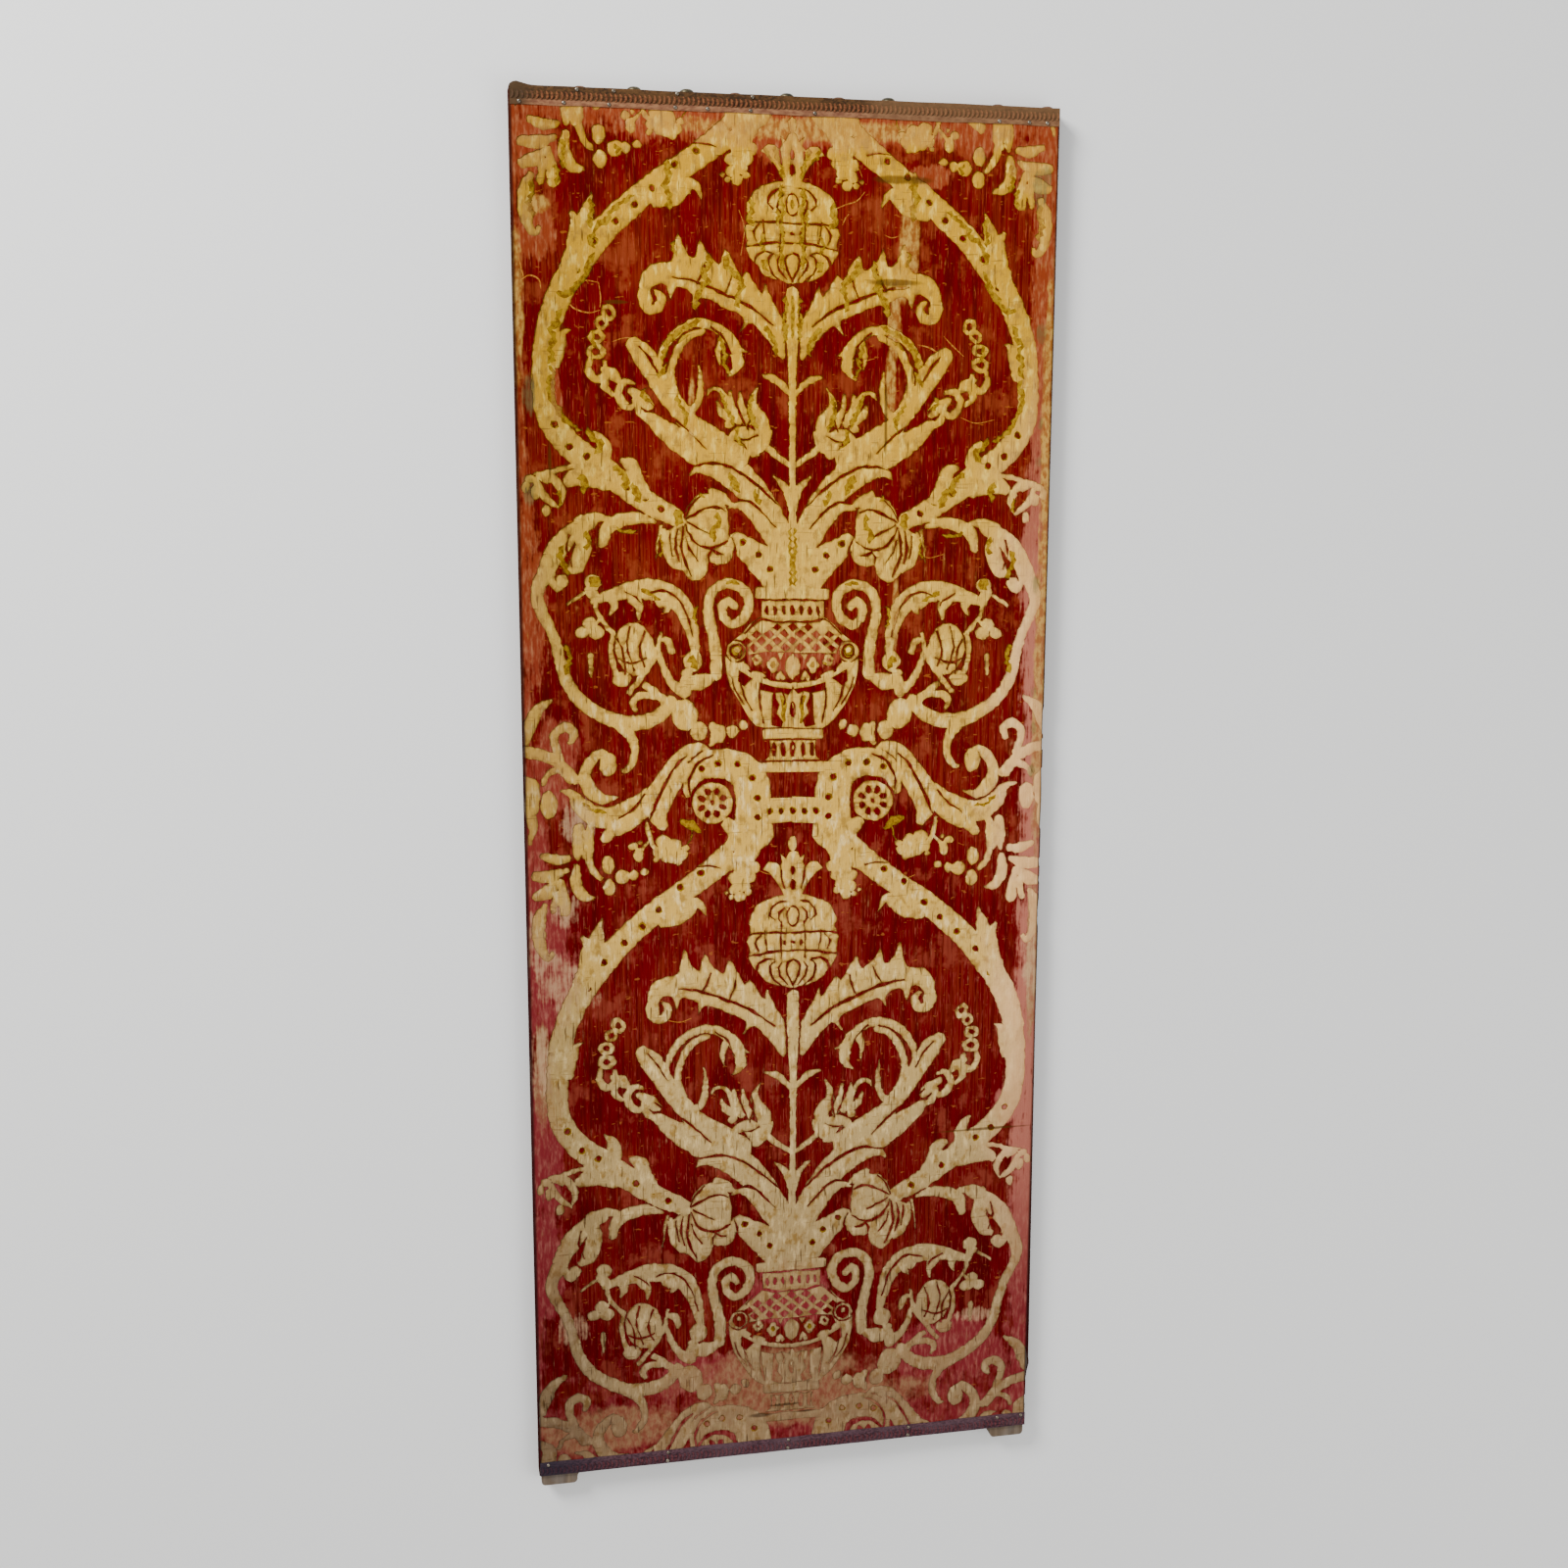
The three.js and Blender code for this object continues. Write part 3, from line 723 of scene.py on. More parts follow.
# Where the pile is scratched down to the weft, on the whole cloth: each scratch's width, then its places as
# across from the centre and down from the head
SCRATCHES = (
    (1.6, (-247, 220), (-242, 227), (-226, 232), (-213, 229)), (1.4, (-244, 199), (-228, 198), (-214, 200)),
    (1.2, (-214, 200), (-212, 216), (-213, 226)), (1.6, (-297, 199), (-288, 194), (-278, 198), (-276, 208)),
    (1.2, (-300, 170), (-297, 184), (-294, 196)), (1.0, (-200, 262), (-188, 258), (-172, 257)),
    (1.4, (46, 117), (60, 111), (72, 107), (81, 97)), (1.6, (56, 133), (59, 126), (63, 121)),
    (1.6, (174, 250), (184, 260), (198, 272)), (2.0, (144, 260), (160, 264), (176, 276)),
    (1.2, (104, 142), (112, 145), (120, 143)), (1.0, (80, 284), (86, 278), (94, 276)),
    (1.2, (60, 64), (72, 70), (78, 82)), (1.0, (-60, 120), (-54, 140), (-58, 168)),
    (1.0, (-282, 292), (-270, 300), (-262, 318)), (1.0, (196, 340), (214, 346), (236, 342)),
    (0.9, (148, 492), (160, 498), (178, 494)), (1.0, (-186, 600), (-170, 604), (-156, 600)),
    (0.9, (-40, 856), (-24, 862), (-6, 858)), (0.9, (118, 868), (136, 874), (150, 870)),
    (0.9, (-150, 1030), (-132, 1034), (-118, 1030)), (0.9, (96, 1192), (110, 1198), (128, 1196)),
)


MOTIFS = (
    strap, corner_sprig, pineapple, acanthus, stem, hooked_flower, husk_chain, branches, carnation, bulb,
    side_scroll, cup_leaf, rose_bud, berries_on_stalks, vase, handle, edge_scrolls, volute_leaf, bracket,
    berry_cluster, sprig_flower, ochre_veins,
)


def draw_figure():
    for motif in MOTIFS:
        motif()


# The velvet: cut flat, then wrapped round the leaf

# How far the stretched cloth has crept from an even weave, in mm. Each row gives a distance down from the
# head, how much lower the figure lies at the left, middle and right, and how far across at the same three.
CREEP = numpy.array((
    (0, -3, -4, 6, 2, 0, 0),
    (200, -4, -6, 5, 2, 0, -1),
    (400, -7, -8, 2, 1, 0, -2),
    (600, -5, -6, 3, -2, 0, 4),
    (800, 0, 0, 8, -3, 0, 6),
    (1000, 5, 5, 12, -2, 0, 4),
    (1180, 10, 9, 18, -2, 0, -3),
    (1300, 15, 12, 20, -4, -2, -2),
    (1600, 16, 16, 19, -3, -2, -4),
))
CREEP_SIDES = (-230, 0, 230)


def crept(across, down):
    """The place where the stretched cloth has this place of the even weave."""
    columns = [numpy.interp(down, CREEP[:, 0], CREEP[:, i]) for i in range(1, 7)]
    lower = numpy.interp(across, CREEP_SIDES, columns[:3])
    wider = numpy.interp(across, CREEP_SIDES, columns[3:])
    return across + wider, down + lower


def placed_outlines():
    """The scratches and every motif on the flat cloth, as (kind, outline), in the order of painting."""
    loom = random.Random(21)
    placed = scratched_outlines()
    for kind, outline, repeats in figure:
        for repeat in repeats:
            for side in (-1, 1):
                ring = woven_ring(outline, repeat, side, loom)
                heights = [point[1] for point in ring]
                if max(heights) > 0 and min(heights) < FLAT_TOP:
                    placed.append((kind, ring))
    return placed


def woven_ring(outline, repeat, side, loom):
    """One outline in one repeat and on one side of the centre line, its edge a little uneven."""
    ring = []
    for x, v in outline:
        down = v + repeat * REPEAT
        across, down = crept(CENTRE_LINE + CENTRE_SLANT * down + side * x, down)
        across += loom.uniform(-WOVEN_WANDER, WOVEN_WANDER)
        down += loom.uniform(-WOVEN_WANDER, WOVEN_WANDER)
        ring.append((float(across), float(FACE_HEIGHT - down)))
    return ring


def scratched_outlines():
    outlines = []
    for width, *points in SCRATCHES:
        outline = stroke(points, [SCRATCH_TIP] + [width] * (len(points) - 2) + [SCRATCH_TIP])
        outlines.append((SCRATCH, [(x, FACE_HEIGHT - v) for x, v in outline]))
    return outlines


def grid_values(low, high, step):
    """Even steps from low to high."""
    count = round((high - low) / step)
    return [low + (high - low) * i / count for i in range(count + 1)]


def cut_lines():
    """The edges of the cloth and the lines where it bends, each as two ends on the flat cloth."""
    bends = [0, BEND / 3, BEND * 2 / 3, BEND]
    uprights = [-FLAT_HALF, FLAT_HALF]
    uprights += [side * (TURN_SIDE + bend) for side in (-1, 1) for bend in bends]
    levels = [0, FLAT_TOP] + [TURN_TOP + bend for bend in bends]
    lines = [((u, 0), (u, FLAT_TOP)) for u in uprights]
    return lines + [((-FLAT_HALF, w), (FLAT_HALF, w)) for w in levels]


def triangulated(rings, step):
    """Points and triangles of the flat cloth, with the rings, the bends and a grid among their edges."""
    points, edges = [], []
    for ring in rings:
        first = len(points)
        points += ring
        edges += [(first + k, first + (k + 1) % len(ring)) for k in range(len(ring))]
    for start, end in cut_lines():
        edges.append((len(points), len(points) + 1))
        points += [start, end]
    for u in grid_values(-TURN_SIDE, TURN_SIDE, step)[1:-1]:
        for w in grid_values(0, TURN_TOP, step)[1:-1]:
            points.append((u, w))
    places, _, faces, _, _, _ = geometry.delaunay_2d_cdt(
        [Vector(point) for point in points], edges, [], 0, SNAP, False,
    )
    places = numpy.array([tuple(place) for place in places])
    triangles = numpy.array(faces)
    middles = places[triangles].mean(axis=1)
    inside = (abs(middles[:, 0]) < FLAT_HALF) & (middles[:, 1] > 0) & (middles[:, 1] < FLAT_TOP)
    return places, triangles[inside]


def turns_round(ring, places):
    """How often the ring winds round each place."""
    ring = numpy.array(ring)
    start, end = ring, numpy.roll(ring, -1, axis=0)
    x, y = places[:, 0:1], places[:, 1:2]
    side = (end[:, 0] - start[:, 0]) * (y - start[:, 1]) - (x - start[:, 0]) * (end[:, 1] - start[:, 1])
    rising = (start[:, 1] <= y) & (end[:, 1] > y) & (side > 0)
    falling = (start[:, 1] > y) & (end[:, 1] <= y) & (side < 0)
    return rising.sum(axis=1) - falling.sum(axis=1)


def kinds_of(middles, placed):
    """Pile, satin or ochre for each triangle: the last motif drawn over it."""
    kinds = numpy.full(len(middles), PILE)
    order = numpy.argsort(middles[:, 1])
    heights = middles[order, 1]
    for kind, ring in placed:
        low, high = numpy.min(ring, axis=0), numpy.max(ring, axis=0)
        near = order[numpy.searchsorted(heights, low[1]):numpy.searchsorted(heights, high[1])]
        near = near[(middles[near, 0] >= low[0]) & (middles[near, 0] <= high[0])]
        if len(near):
            kinds[near[turns_round(ring, middles[near]) != 0]] = kind
    return kinds


def smooth(t):
    """0 below 0, 1 above 1, and smooth between."""
    s = numpy.clip(t, 0, 1)
    return s * s * (3 - 2 * s)


def face_rise(x, y):
    """The soft waves of the stretched face and its one long crease."""
    nearest = numpy.minimum(numpy.minimum(HALF - abs(x), y), CLOTH_TOP - y) - BRAID_MARGIN
    wave = 1 + numpy.sin(x / 48 + y / 260) * numpy.cos(y / 84 - x / 190)
    along = numpy.minimum(y - CREASE["low"], CREASE["high"] - y) / TENSION_MARGIN
    across = (x - CREASE["x"]) / CREASE["half_width"]
    crease = CREASE["rise"] * numpy.exp(-across ** 2) * smooth(along)
    return (WAVE_RISE * wave + crease) * smooth(nearest / TENSION_MARGIN)


def slack_bulge(u, y, level):
    """The loose cloth low on the right side."""
    along = numpy.exp(-((y - SLACK["height"]) / SLACK["length"]) ** 2)
    bulge = SLACK["reach"] * along * numpy.sin(numpy.clip(level / SLACK["depth"], 0, 1) * math.pi)
    return numpy.where(u > TURN_SIDE, bulge, 0)


def wrapped(flat, lift):
    """Places on the flat cloth, lifted off it and wrapped round the leaf, in the row frame."""
    u, w = flat[:, 0], flat[:, 1]
    over_side, over_top = numpy.maximum(abs(u) - TURN_SIDE, 0), numpy.maximum(w - TURN_TOP, 0)
    over = numpy.maximum(over_side, over_top)
    share = numpy.where(over > 0, over, 1)
    sideways, upwards = numpy.sign(u) * over_side / share, over_top / share
    turn = numpy.clip(over / EDGE_RADIUS, 0, math.pi / 2)
    out = EDGE_RADIUS * numpy.sin(turn)
    x, y = numpy.clip(u, -TURN_SIDE, TURN_SIDE), numpy.minimum(w, TURN_TOP)
    level = CLOTH_FACE - EDGE_RADIUS * (1 - numpy.cos(turn)) - numpy.maximum(over - BEND, 0)
    level = level + face_rise(x, y) * numpy.cos(turn)
    normal = numpy.stack([sideways * numpy.sin(turn), upwards * numpy.sin(turn), numpy.cos(turn)], axis=1)
    normal /= numpy.linalg.norm(normal, axis=1)[:, None]
    places = numpy.stack([x + sideways * out + slack_bulge(u, y, level), y + upwards * out, level], axis=1)
    places += normal * numpy.reshape(lift, (-1, 1))
    return places * MM + numpy.array([CENTRE_X, LOW_Y, 0])


def border_of(triangles):
    """The edges that only one triangle has, each running as its triangle does."""
    edges = triangles[:, [0, 1, 1, 2, 2, 0]].reshape(-1, 2)
    sorted_edges = numpy.sort(edges, axis=1)
    _, first, counts = numpy.unique(sorted_edges, axis=0, return_index=True, return_counts=True)
    return edges[first[counts == 1]]


def ring_through(edges):
    """The places along a closed border, in order."""
    following = dict(edges.tolist())
    start = int(edges[0][0])
    ring = [start]
    while following[ring[-1]] != start:
        ring.append(following[ring[-1]])
    return ring


def face_and_walls(flat, triangles, raised):
    """The front's faces and the walls round the pile, whose places come after those of the ground."""
    pile_place = len(flat) + numpy.arange(len(flat))
    faces = numpy.where(raised[:, None], pile_place[triangles], triangles)
    border = border_of(triangles[raised])
    start, end = border[:, 0], border[:, 1]
    walls = numpy.column_stack([pile_place[end], pile_place[start], start, end])
    return faces.tolist(), walls.tolist()


def back_and_rim(flat, triangles):
    """The places of the plain back, the rim round the sheet, and the faces of the back."""
    ring = ring_through(border_of(triangles))
    back_flat, back_triangles = triangulated([[tuple(flat[i]) for i in ring]], BACK_STEP)
    back_index = {tuple(place): i for i, place in enumerate(numpy.round(back_flat, 1).tolist())}
    behind = [2 * len(flat) + back_index[tuple(numpy.round(flat[i], 1).tolist())] for i in ring]
    rim = [(ring[k], ring[k - 1], behind[k - 1], behind[k]) for k in range(len(ring))]
    return back_flat, rim, (2 * len(flat) + back_triangles)[:, ::-1].tolist()


def pile_edges(flat, triangles, raised):
    """1 at each place where pile and ground meet, and 0 elsewhere."""
    touched = numpy.zeros((2, len(flat)))
    touched[0, triangles[raised].ravel()] = 1
    touched[1, triangles[~raised].ravel()] = 1
    return touched[0] * touched[1]


def woven_velvet():
    """One closed sheet: its pile raised from the satin ground, its plain back, and the rim between."""
    placed = placed_outlines()
    flat, triangles = triangulated([ring for _, ring in placed], GRID_STEP)
    kinds = kinds_of(flat[triangles].mean(axis=1), placed)
    raised = (kinds == PILE) | (kinds == SCRATCH)
    faces, walls = face_and_walls(flat, triangles, raised)
    back_flat, rim, back_faces = back_and_rim(flat, triangles)
    edge = pile_edges(flat, triangles, raised)
    lifts = numpy.concatenate([
        GROUND_LIFT + SWELL * (1 - edge), numpy.full(len(flat), PILE_LIFT),
        numpy.full(len(back_flat), -CLOTH),
    ])
    edge = numpy.concatenate([edge, edge, numpy.zeros(len(back_flat))])
    slots = kinds.tolist() + [PILE] * len(walls) + [BACK] * (len(rim) + len(back_faces))
    places = numpy.vstack([flat, flat, back_flat])
    return velvet_mesh(places, lifts, edge, faces + walls + rim + back_faces, slots)


def velvet_mesh(flat, lifts, edge, polygons, slots):
    """The wrapped sheet, without the places that no polygon uses."""
    used = sorted({index for polygon in polygons for index in polygon})
    new_index = {old: new for new, old in enumerate(used)}
    polygons = [[new_index[index] for index in polygon] for polygon in polygons]
    flat = flat[used]
    mesh = bpy.data.meshes.new("figured_velvet")
    mesh.from_pydata(wrapped(flat, lifts[used]).tolist(), [], polygons)
    mesh.polygons.foreach_set("material_index", slots)
    mesh.attributes.new(EDGE, "FLOAT", "POINT").data.foreach_set("value", edge[used])
    layer = mesh.uv_layers.new(name=FLAT_CLOTH)
    corners = numpy.empty(len(mesh.loops), dtype=numpy.int32)
    mesh.loops.foreach_get("vertex_index", corners)
    layer.uv.foreach_set("vector", (flat[corners] * MM).ravel())
    return mesh


# Finishes

class Finish:
    """One finish and its nodes, on Object coordinates or on the flat cloth."""

    def __init__(self, name, on_cloth=False, **values):
        self.material = bpy.data.materials.new(name)
        self.material.use_nodes = True
        self.tree = self.material.node_tree
        self.shader = self.tree.nodes["Principled BSDF"]
        for socket, value in values.items():
            self.shader.inputs[socket.replace("_", " ")].default_value = value
        if on_cloth:
            self.place = self.add("ShaderNodeUVMap", {}, uv_map=FLAT_CLOTH)
        else:
            self.place = self.add("ShaderNodeTexCoord", {}, "Object")
        self.x, self.y, self.z = (
            self.add("ShaderNodeSeparateXYZ", {"Vector": self.place}, axis) for axis in "XYZ"
        )

    def add(self, kind, inputs, output=0, **settings):
        """A node with these inputs, linked or set, and one of its outputs."""
        node = self.tree.nodes.new(kind)
        for name, value in settings.items():
            setattr(node, name, value)
        for name, value in inputs.items():
            if isinstance(value, bpy.types.NodeSocket):
                self.tree.links.new(value, node.inputs[name])
            else:
                node.inputs[name].default_value = value
        return node.outputs[output]

    def noise(self, scale, detail=2.0, roughness=0.5, shift=(0, 0, 0)):
        """Noise whose marks are 1/scale metres long on each axis."""
        place = self.add("ShaderNodeMapping", {"Vector": self.place, "Scale": scale, "Location": shift})
        return self.add("ShaderNodeTexNoise", {
            "Vector": place, "Scale": 1.0, "Detail": detail, "Roughness": roughness,
        })

    def between(self, value, low, high, amount=1.0):
        """0 at low, amount at high, and smooth between."""
        return self.add("ShaderNodeMapRange", {
            "Value": value, "From Min": low, "From Max": high, "To Max": amount,
        }, interpolation_type="SMOOTHSTEP")

    def maths(self, operation, first, second=0.0):
        return self.add("ShaderNodeMath", {0: first, 1: second}, operation=operation)

    def times(self, *values):
        total = values[0]
        for value in values[1:]:
            total = self.maths("MULTIPLY", total, value)
        return total

    def most(self, *values):
        total = values[0]
        for value in values[1:]:
            total = self.maths("MAXIMUM", total, value)
        return total

    def mix(self, factor, first, second, blend="MIX"):
        return self.add("ShaderNodeMix", {0: factor, 6: colour(first), 7: colour(second)}, 2,
                        data_type="RGBA", blend_type=blend)

    def patch(self, x, y, across, up, soft, wander):
        """1 inside an oval at x, y on the cloth, in metres, fading out at its wandering edge."""
        along = self.maths("DIVIDE", self.maths("SUBTRACT", self.x, x), across)
        above = self.maths("DIVIDE", self.maths("SUBTRACT", self.y, y), up)
        reach = self.maths("ADD", self.times(along, along), self.times(above, above))
        reach = self.maths("ADD", reach, wander)
        return self.between(reach, 1 + soft, 1 - soft)

    def bump(self, height, strength, distance):
        normal = self.add("ShaderNodeBump", {"Height": height, "Strength": strength, "Distance": distance})
        self.tree.links.new(normal, self.shader.inputs["Normal"])

    def paint(self, value):
        self.tree.links.new(value, self.shader.inputs["Base Color"])
        return self.material


def colour(value):
    """A colour with its fourth number, or the socket as it is."""
    return (*value, 1.0) if isinstance(value, tuple) and len(value) == 3 else value


def edge_of(cloth, power):
    """1 along the line where pile meets satin, falling to 0 a few millimetres off."""
    near = cloth.add("ShaderNodeAttribute", {}, "Fac", attribute_name=EDGE)
    return cloth.maths("POWER", near, power)


def soft_ovals(cloth, places, wander, soft=0.75):
    """The ovals at these places on the flat cloth, as (x, y, across, up) in metres, with soft edges."""
    return cloth.most(*(cloth.patch(*place, soft, wander) for place in places))


# Where the cloth is worn, stained and creased, and where sheen is painted on it, as (x, y, across, up) in
# metres on the flat cloth. The pink places are partly worn and partly painted sheen, and the sheen places
# are painted sheen.
PINK_PLACES = (
    (-0.285, 0.63, 0.036, 0.080), (-0.300, 0.74, 0.020, 0.10), (-0.305, 1.04, 0.028, 0.14),
    (-0.295, 0.42, 0.028, 0.10), (-0.296, 1.53, 0.040, 0.040), (-0.11, 0.11, 0.060, 0.030),
    (0.302, 0.56, 0.020, 0.12), (0.21, 0.135, 0.06, 0.022), (0.300, 0.25, 0.022, 0.13),
    (0.300, 1.08, 0.028, 0.10), (0.285, 0.43, 0.030, 0.030), (-0.292, 0.27, 0.024, 0.07),
    (0.05, 1.56, 0.30, 0.026), (0.285, 1.53, 0.040, 0.04), (-0.28, 1.44, 0.020, 0.03),
    (0.155, 1.512, 0.028, 0.012), (0.296, 1.38, 0.020, 0.12), (-0.262, 1.27, 0.006, 0.030),
    (-0.270, 0.86, 0.030, 0.05), (-0.01, 1.545, 0.05, 0.024), (0.20, 0.110, 0.08, 0.036),
    (0.0, 0.988, 0.056, 0.024), (0.0, 0.205, 0.058, 0.040),
)
SHEEN_PLACES = (
    (-0.275, 0.615, 0.030, 0.036), (-0.255, 0.588, 0.030, 0.018), (-0.296, 0.66, 0.012, 0.04),
    (-0.262, 0.185, 0.022, 0.022), (0.296, 0.60, 0.012, 0.05), (-0.292, 0.515, 0.016, 0.04),
    (-0.245, 0.80, 0.020, 0.030), (0.24, 0.155, 0.03, 0.012), (-0.262, 0.70, 0.016, 0.03),
)
TAN_PLACES = (
    (-0.280, 1.470, 0.014, 0.010), (-0.304, 1.36, 0.009, 0.08), (-0.113, 1.250, 0.004, 0.040),
    (0.133, 1.445, 0.012, 0.045), (0.125, 1.400, 0.010, 0.028), (0.117, 1.350, 0.008, 0.036),
    (0.113, 1.285, 0.006, 0.040), (0.122, 1.030, 0.004, 0.050), (-0.292, 0.50, 0.010, 0.06),
    (0.300, 1.24, 0.008, 0.16), (0.300, 0.94, 0.010, 0.22), (0.298, 0.62, 0.008, 0.10),
    (0.02, 1.556, 0.16, 0.012),
)
FOOT_TAN_PLACES = (
    (-0.02, 0.100, 0.11, 0.034), (0.02, 0.062, 0.15, 0.028), (-0.22, 0.050, 0.09, 0.028),
)
GREEN_PLACES = (
    (0.291, 1.517, 0.007, 0.012), (0.284, 1.50, 0.008, 0.022), (0.290, 1.345, 0.006, 0.014),
    (0.291, 1.245, 0.005, 0.010), (0.290, 1.201, 0.005, 0.008), (0.291, 1.058, 0.006, 0.012),
    (0.291, 0.935, 0.004, 0.008), (0.292, 0.890, 0.004, 0.008), (0.291, 0.840, 0.004, 0.008),
    (-0.290, 1.27, 0.008, 0.024), (-0.292, 1.17, 0.008, 0.020),
)
FOLD_PLACES = (
    (-0.196, 1.370, 0.012, 0.0020), (0.124, 1.507, 0.030, 0.0045), (0.245, 0.398, 0.055, 0.0016),
    (0.115, 1.397, 0.030, 0.0035), (0.108, 1.245, 0.0016, 0.045), (-0.270, 1.20, 0.0016, 0.020),
    (-0.036, 0.050, 0.014, 0.0032), (-0.006, 0.061, 0.020, 0.0016), (0.020, 0.050, 0.012, 0.0014),
)


# Where each kind of wear, painted sheen and painted shade begins and where it is full, in metres on the flat
# cloth. The pink margins are partly painted sheen, the pale right side is painted sheen, and the dim foot,
# the dim left side and the turned sides are painted shade.
SHEEN_AND_WEAR_SIDE = (0.280, 0.308)
WORN_HEAD = (1.535, 1.568)
SHEEN_AND_WEAR_RIGHT = (0.266, 0.292)
SHEEN_AND_WEAR_FOOT = (0.19, 0.03)
DIM_FOOT = (0.70, 0.02)
DIM_LEFT = (-0.16, -0.30)
LOWER_CLOTH = (1.15, 0.55)
SHEEN_RIGHT = ((0.215, 0.29), (1.36, 0.98), (0.12, 0.42))
TURNED_SIDE = (TURN_SIDE * MM - 0.0015, TURN_SIDE * MM + 0.0015)


class WearAndPaintedLight:
    """Where the cloth is faded, worn, stained or dirty, and where sheen and shade are painted on it. Pile
    and satin share it, so it runs across both.
    """

    def __init__(self, cloth):
        self.cloth = cloth
        cloud = cloth.maths("SUBTRACT", cloth.noise((26, 17, 1), 4, 0.65), 0.5)
        fibres = cloth.maths("SUBTRACT", cloth.noise((260, 18, 1), 3, 0.65, shift=(4, 7, 0)), 0.5)
        specks = cloth.maths("SUBTRACT", cloth.noise((85, 60, 1), 3, 0.6, shift=(1, 3, 0)), 0.5)
        self.fray = cloth.maths("ADD", cloth.times(fibres, 1.9), cloth.times(specks, 1.3))
        wander = cloth.times(cloud, 3.0)
        beside = cloth.maths("ABSOLUTE", cloth.x)
        side = cloth.maths("ADD", beside, cloth.times(wander, 0.012))
        foot = cloth.maths("ADD", cloth.y, cloth.times(wander, 0.05))
        head = cloth.maths("ADD", cloth.y, cloth.times(wander, 0.010))
        right = cloth.maths("ADD", cloth.x, cloth.times(wander, 0.010))
        sideways = cloth.maths("ADD", cloth.x, cloth.times(wander, 0.03))
        # Pink along the sides, the head and the right: worn and faded, and along the sides and the right
        # also painted sheen.
        margins = cloth.most(
            cloth.between(side, *SHEEN_AND_WEAR_SIDE, 0.75), cloth.between(head, *WORN_HEAD, 0.85),
            cloth.between(right, *SHEEN_AND_WEAR_RIGHT, 0.95),
        )
        rubbed = self.frayed(cloth.most(margins, soft_ovals(cloth, PINK_PLACES, wander)))
        # Pink towards the foot: worn, and partly painted sheen.
        low = cloth.maths("ADD", cloth.between(foot, *SHEEN_AND_WEAR_FOOT, 0.75), cloth.times(specks, 2.2))
        self.pink = cloth.most(rubbed, cloth.between(low, 0.25, 1.0, 0.85))
        # Painted sheen: whitish patches.
        self.white = self.frayed(soft_ovals(cloth, SHEEN_PLACES, wander), 0.6, 1.3)
        foot_tan = cloth.maths("ADD", soft_ovals(cloth, FOOT_TAN_PLACES, wander, 1.0), specks)
        self.tan = cloth.most(
            self.frayed(soft_ovals(cloth, TAN_PLACES, cloth.times(wander, 0.6)), 0.2, 1.05),
            cloth.between(foot_tan, 0.22, 0.85, 0.75),
        )
        self.green = self.frayed(soft_ovals(cloth, GREEN_PLACES, wander), 0.4, 1.2)
        self.fold = soft_ovals(cloth, FOLD_PLACES, cloth.times(wander, 0.7), 0.6)
        # Painted shade, with some dirt, where the cloth turns over the sides.
        self.dirt = cloth.between(beside, *TURNED_SIDE)
        # Painted shade: darker towards the foot and on the left side.
        self.dim = cloth.between(foot, *DIM_FOOT)
        self.left = cloth.between(sideways, *DIM_LEFT)
        self.lower = cloth.between(cloth.y, *LOWER_CLOTH)
        # Painted sheen: paler towards the right side, between the head and the foot.
        across, head_end, foot_end = SHEEN_RIGHT
        self.right = cloth.times(
            cloth.between(sideways, *across), cloth.between(cloth.y, *head_end),
            cloth.between(cloth.y, *foot_end),
        )

    def frayed(self, area, low=0.35, high=0.85):
        """The area broken up unevenly along its fibres, so that it has no firm edge."""
        return self.cloth.between(self.cloth.maths("ADD", area, self.fray), low, high)

    def unfaded(self):
        """1 where the colours are full, and less towards the foot."""
        return self.cloth.maths("SUBTRACT", 1.0, self.cloth.times(self.dim, 0.7))


# The colours of the wear and of the painted sheen and shade, and how strongly folds and the painted shade
# and dirt of the turned sides cover the cloth
UPPER_TANS = ((0.28, 0.10, 0.016), (0.52, 0.30, 0.06))
LOWER_TANS = ((0.27, 0.10, 0.046), (0.36, 0.23, 0.10))
SHEEN_WHITE = (0.60, 0.38, 0.20)
MOULD_GREEN = (0.13, 0.12, 0.04)
FOLD_BROWN = (0.065, 0.024, 0.003)
FOOT_SHADE = (0.36, 0.34, 0.48)
LEFT_SHADE = (0.58, 0.58, 0.62)
SIDE_SHADE_AND_DIRT = (0.010, 0.003, 0.003)
FOLD_STRENGTH = 0.75
SIDE_SHADE_AND_DIRT_STRENGTH = 0.88


def wear_and_light_over(cloth, base, wear, pink, amounts, shades):
    """The wear, the painted sheen and the painted shade laid over the base colour.

    The amounts are for pink (worn, and partly painted sheen), tan, white (painted sheen) and green, and the
    shades (painted shade) for the foot and the left side.
    """
    mottle = cloth.noise((170, 90, 1), 3, 0.6, shift=(6, 2, 0))
    upper_tan = cloth.mix(cloth.between(mottle, 0.38, 0.62), *UPPER_TANS)
    lower_tan = cloth.mix(cloth.between(mottle, 0.34, 0.66), *LOWER_TANS)
    tan = cloth.mix(wear.lower, upper_tan, lower_tan)
    for factor, tone, amount in zip(
        (wear.pink, wear.tan, wear.white, wear.green), (pink, tan, SHEEN_WHITE, MOULD_GREEN), amounts,
    ):
        base = cloth.mix(cloth.times(factor, amount), base, tone)
    base = cloth.mix(cloth.times(wear.fold, FOLD_STRENGTH), base, FOLD_BROWN)
    base = cloth.mix(cloth.times(wear.dim, shades[0]), base, FOOT_SHADE, "MULTIPLY")
    base = cloth.mix(cloth.times(wear.left, shades[1]), base, LEFT_SHADE, "MULTIPLY")
    # Painted shade, with some dirt, on the turned sides.
    return cloth.mix(cloth.times(wear.dirt, SIDE_SHADE_AND_DIRT_STRENGTH), base, SIDE_SHADE_AND_DIRT)


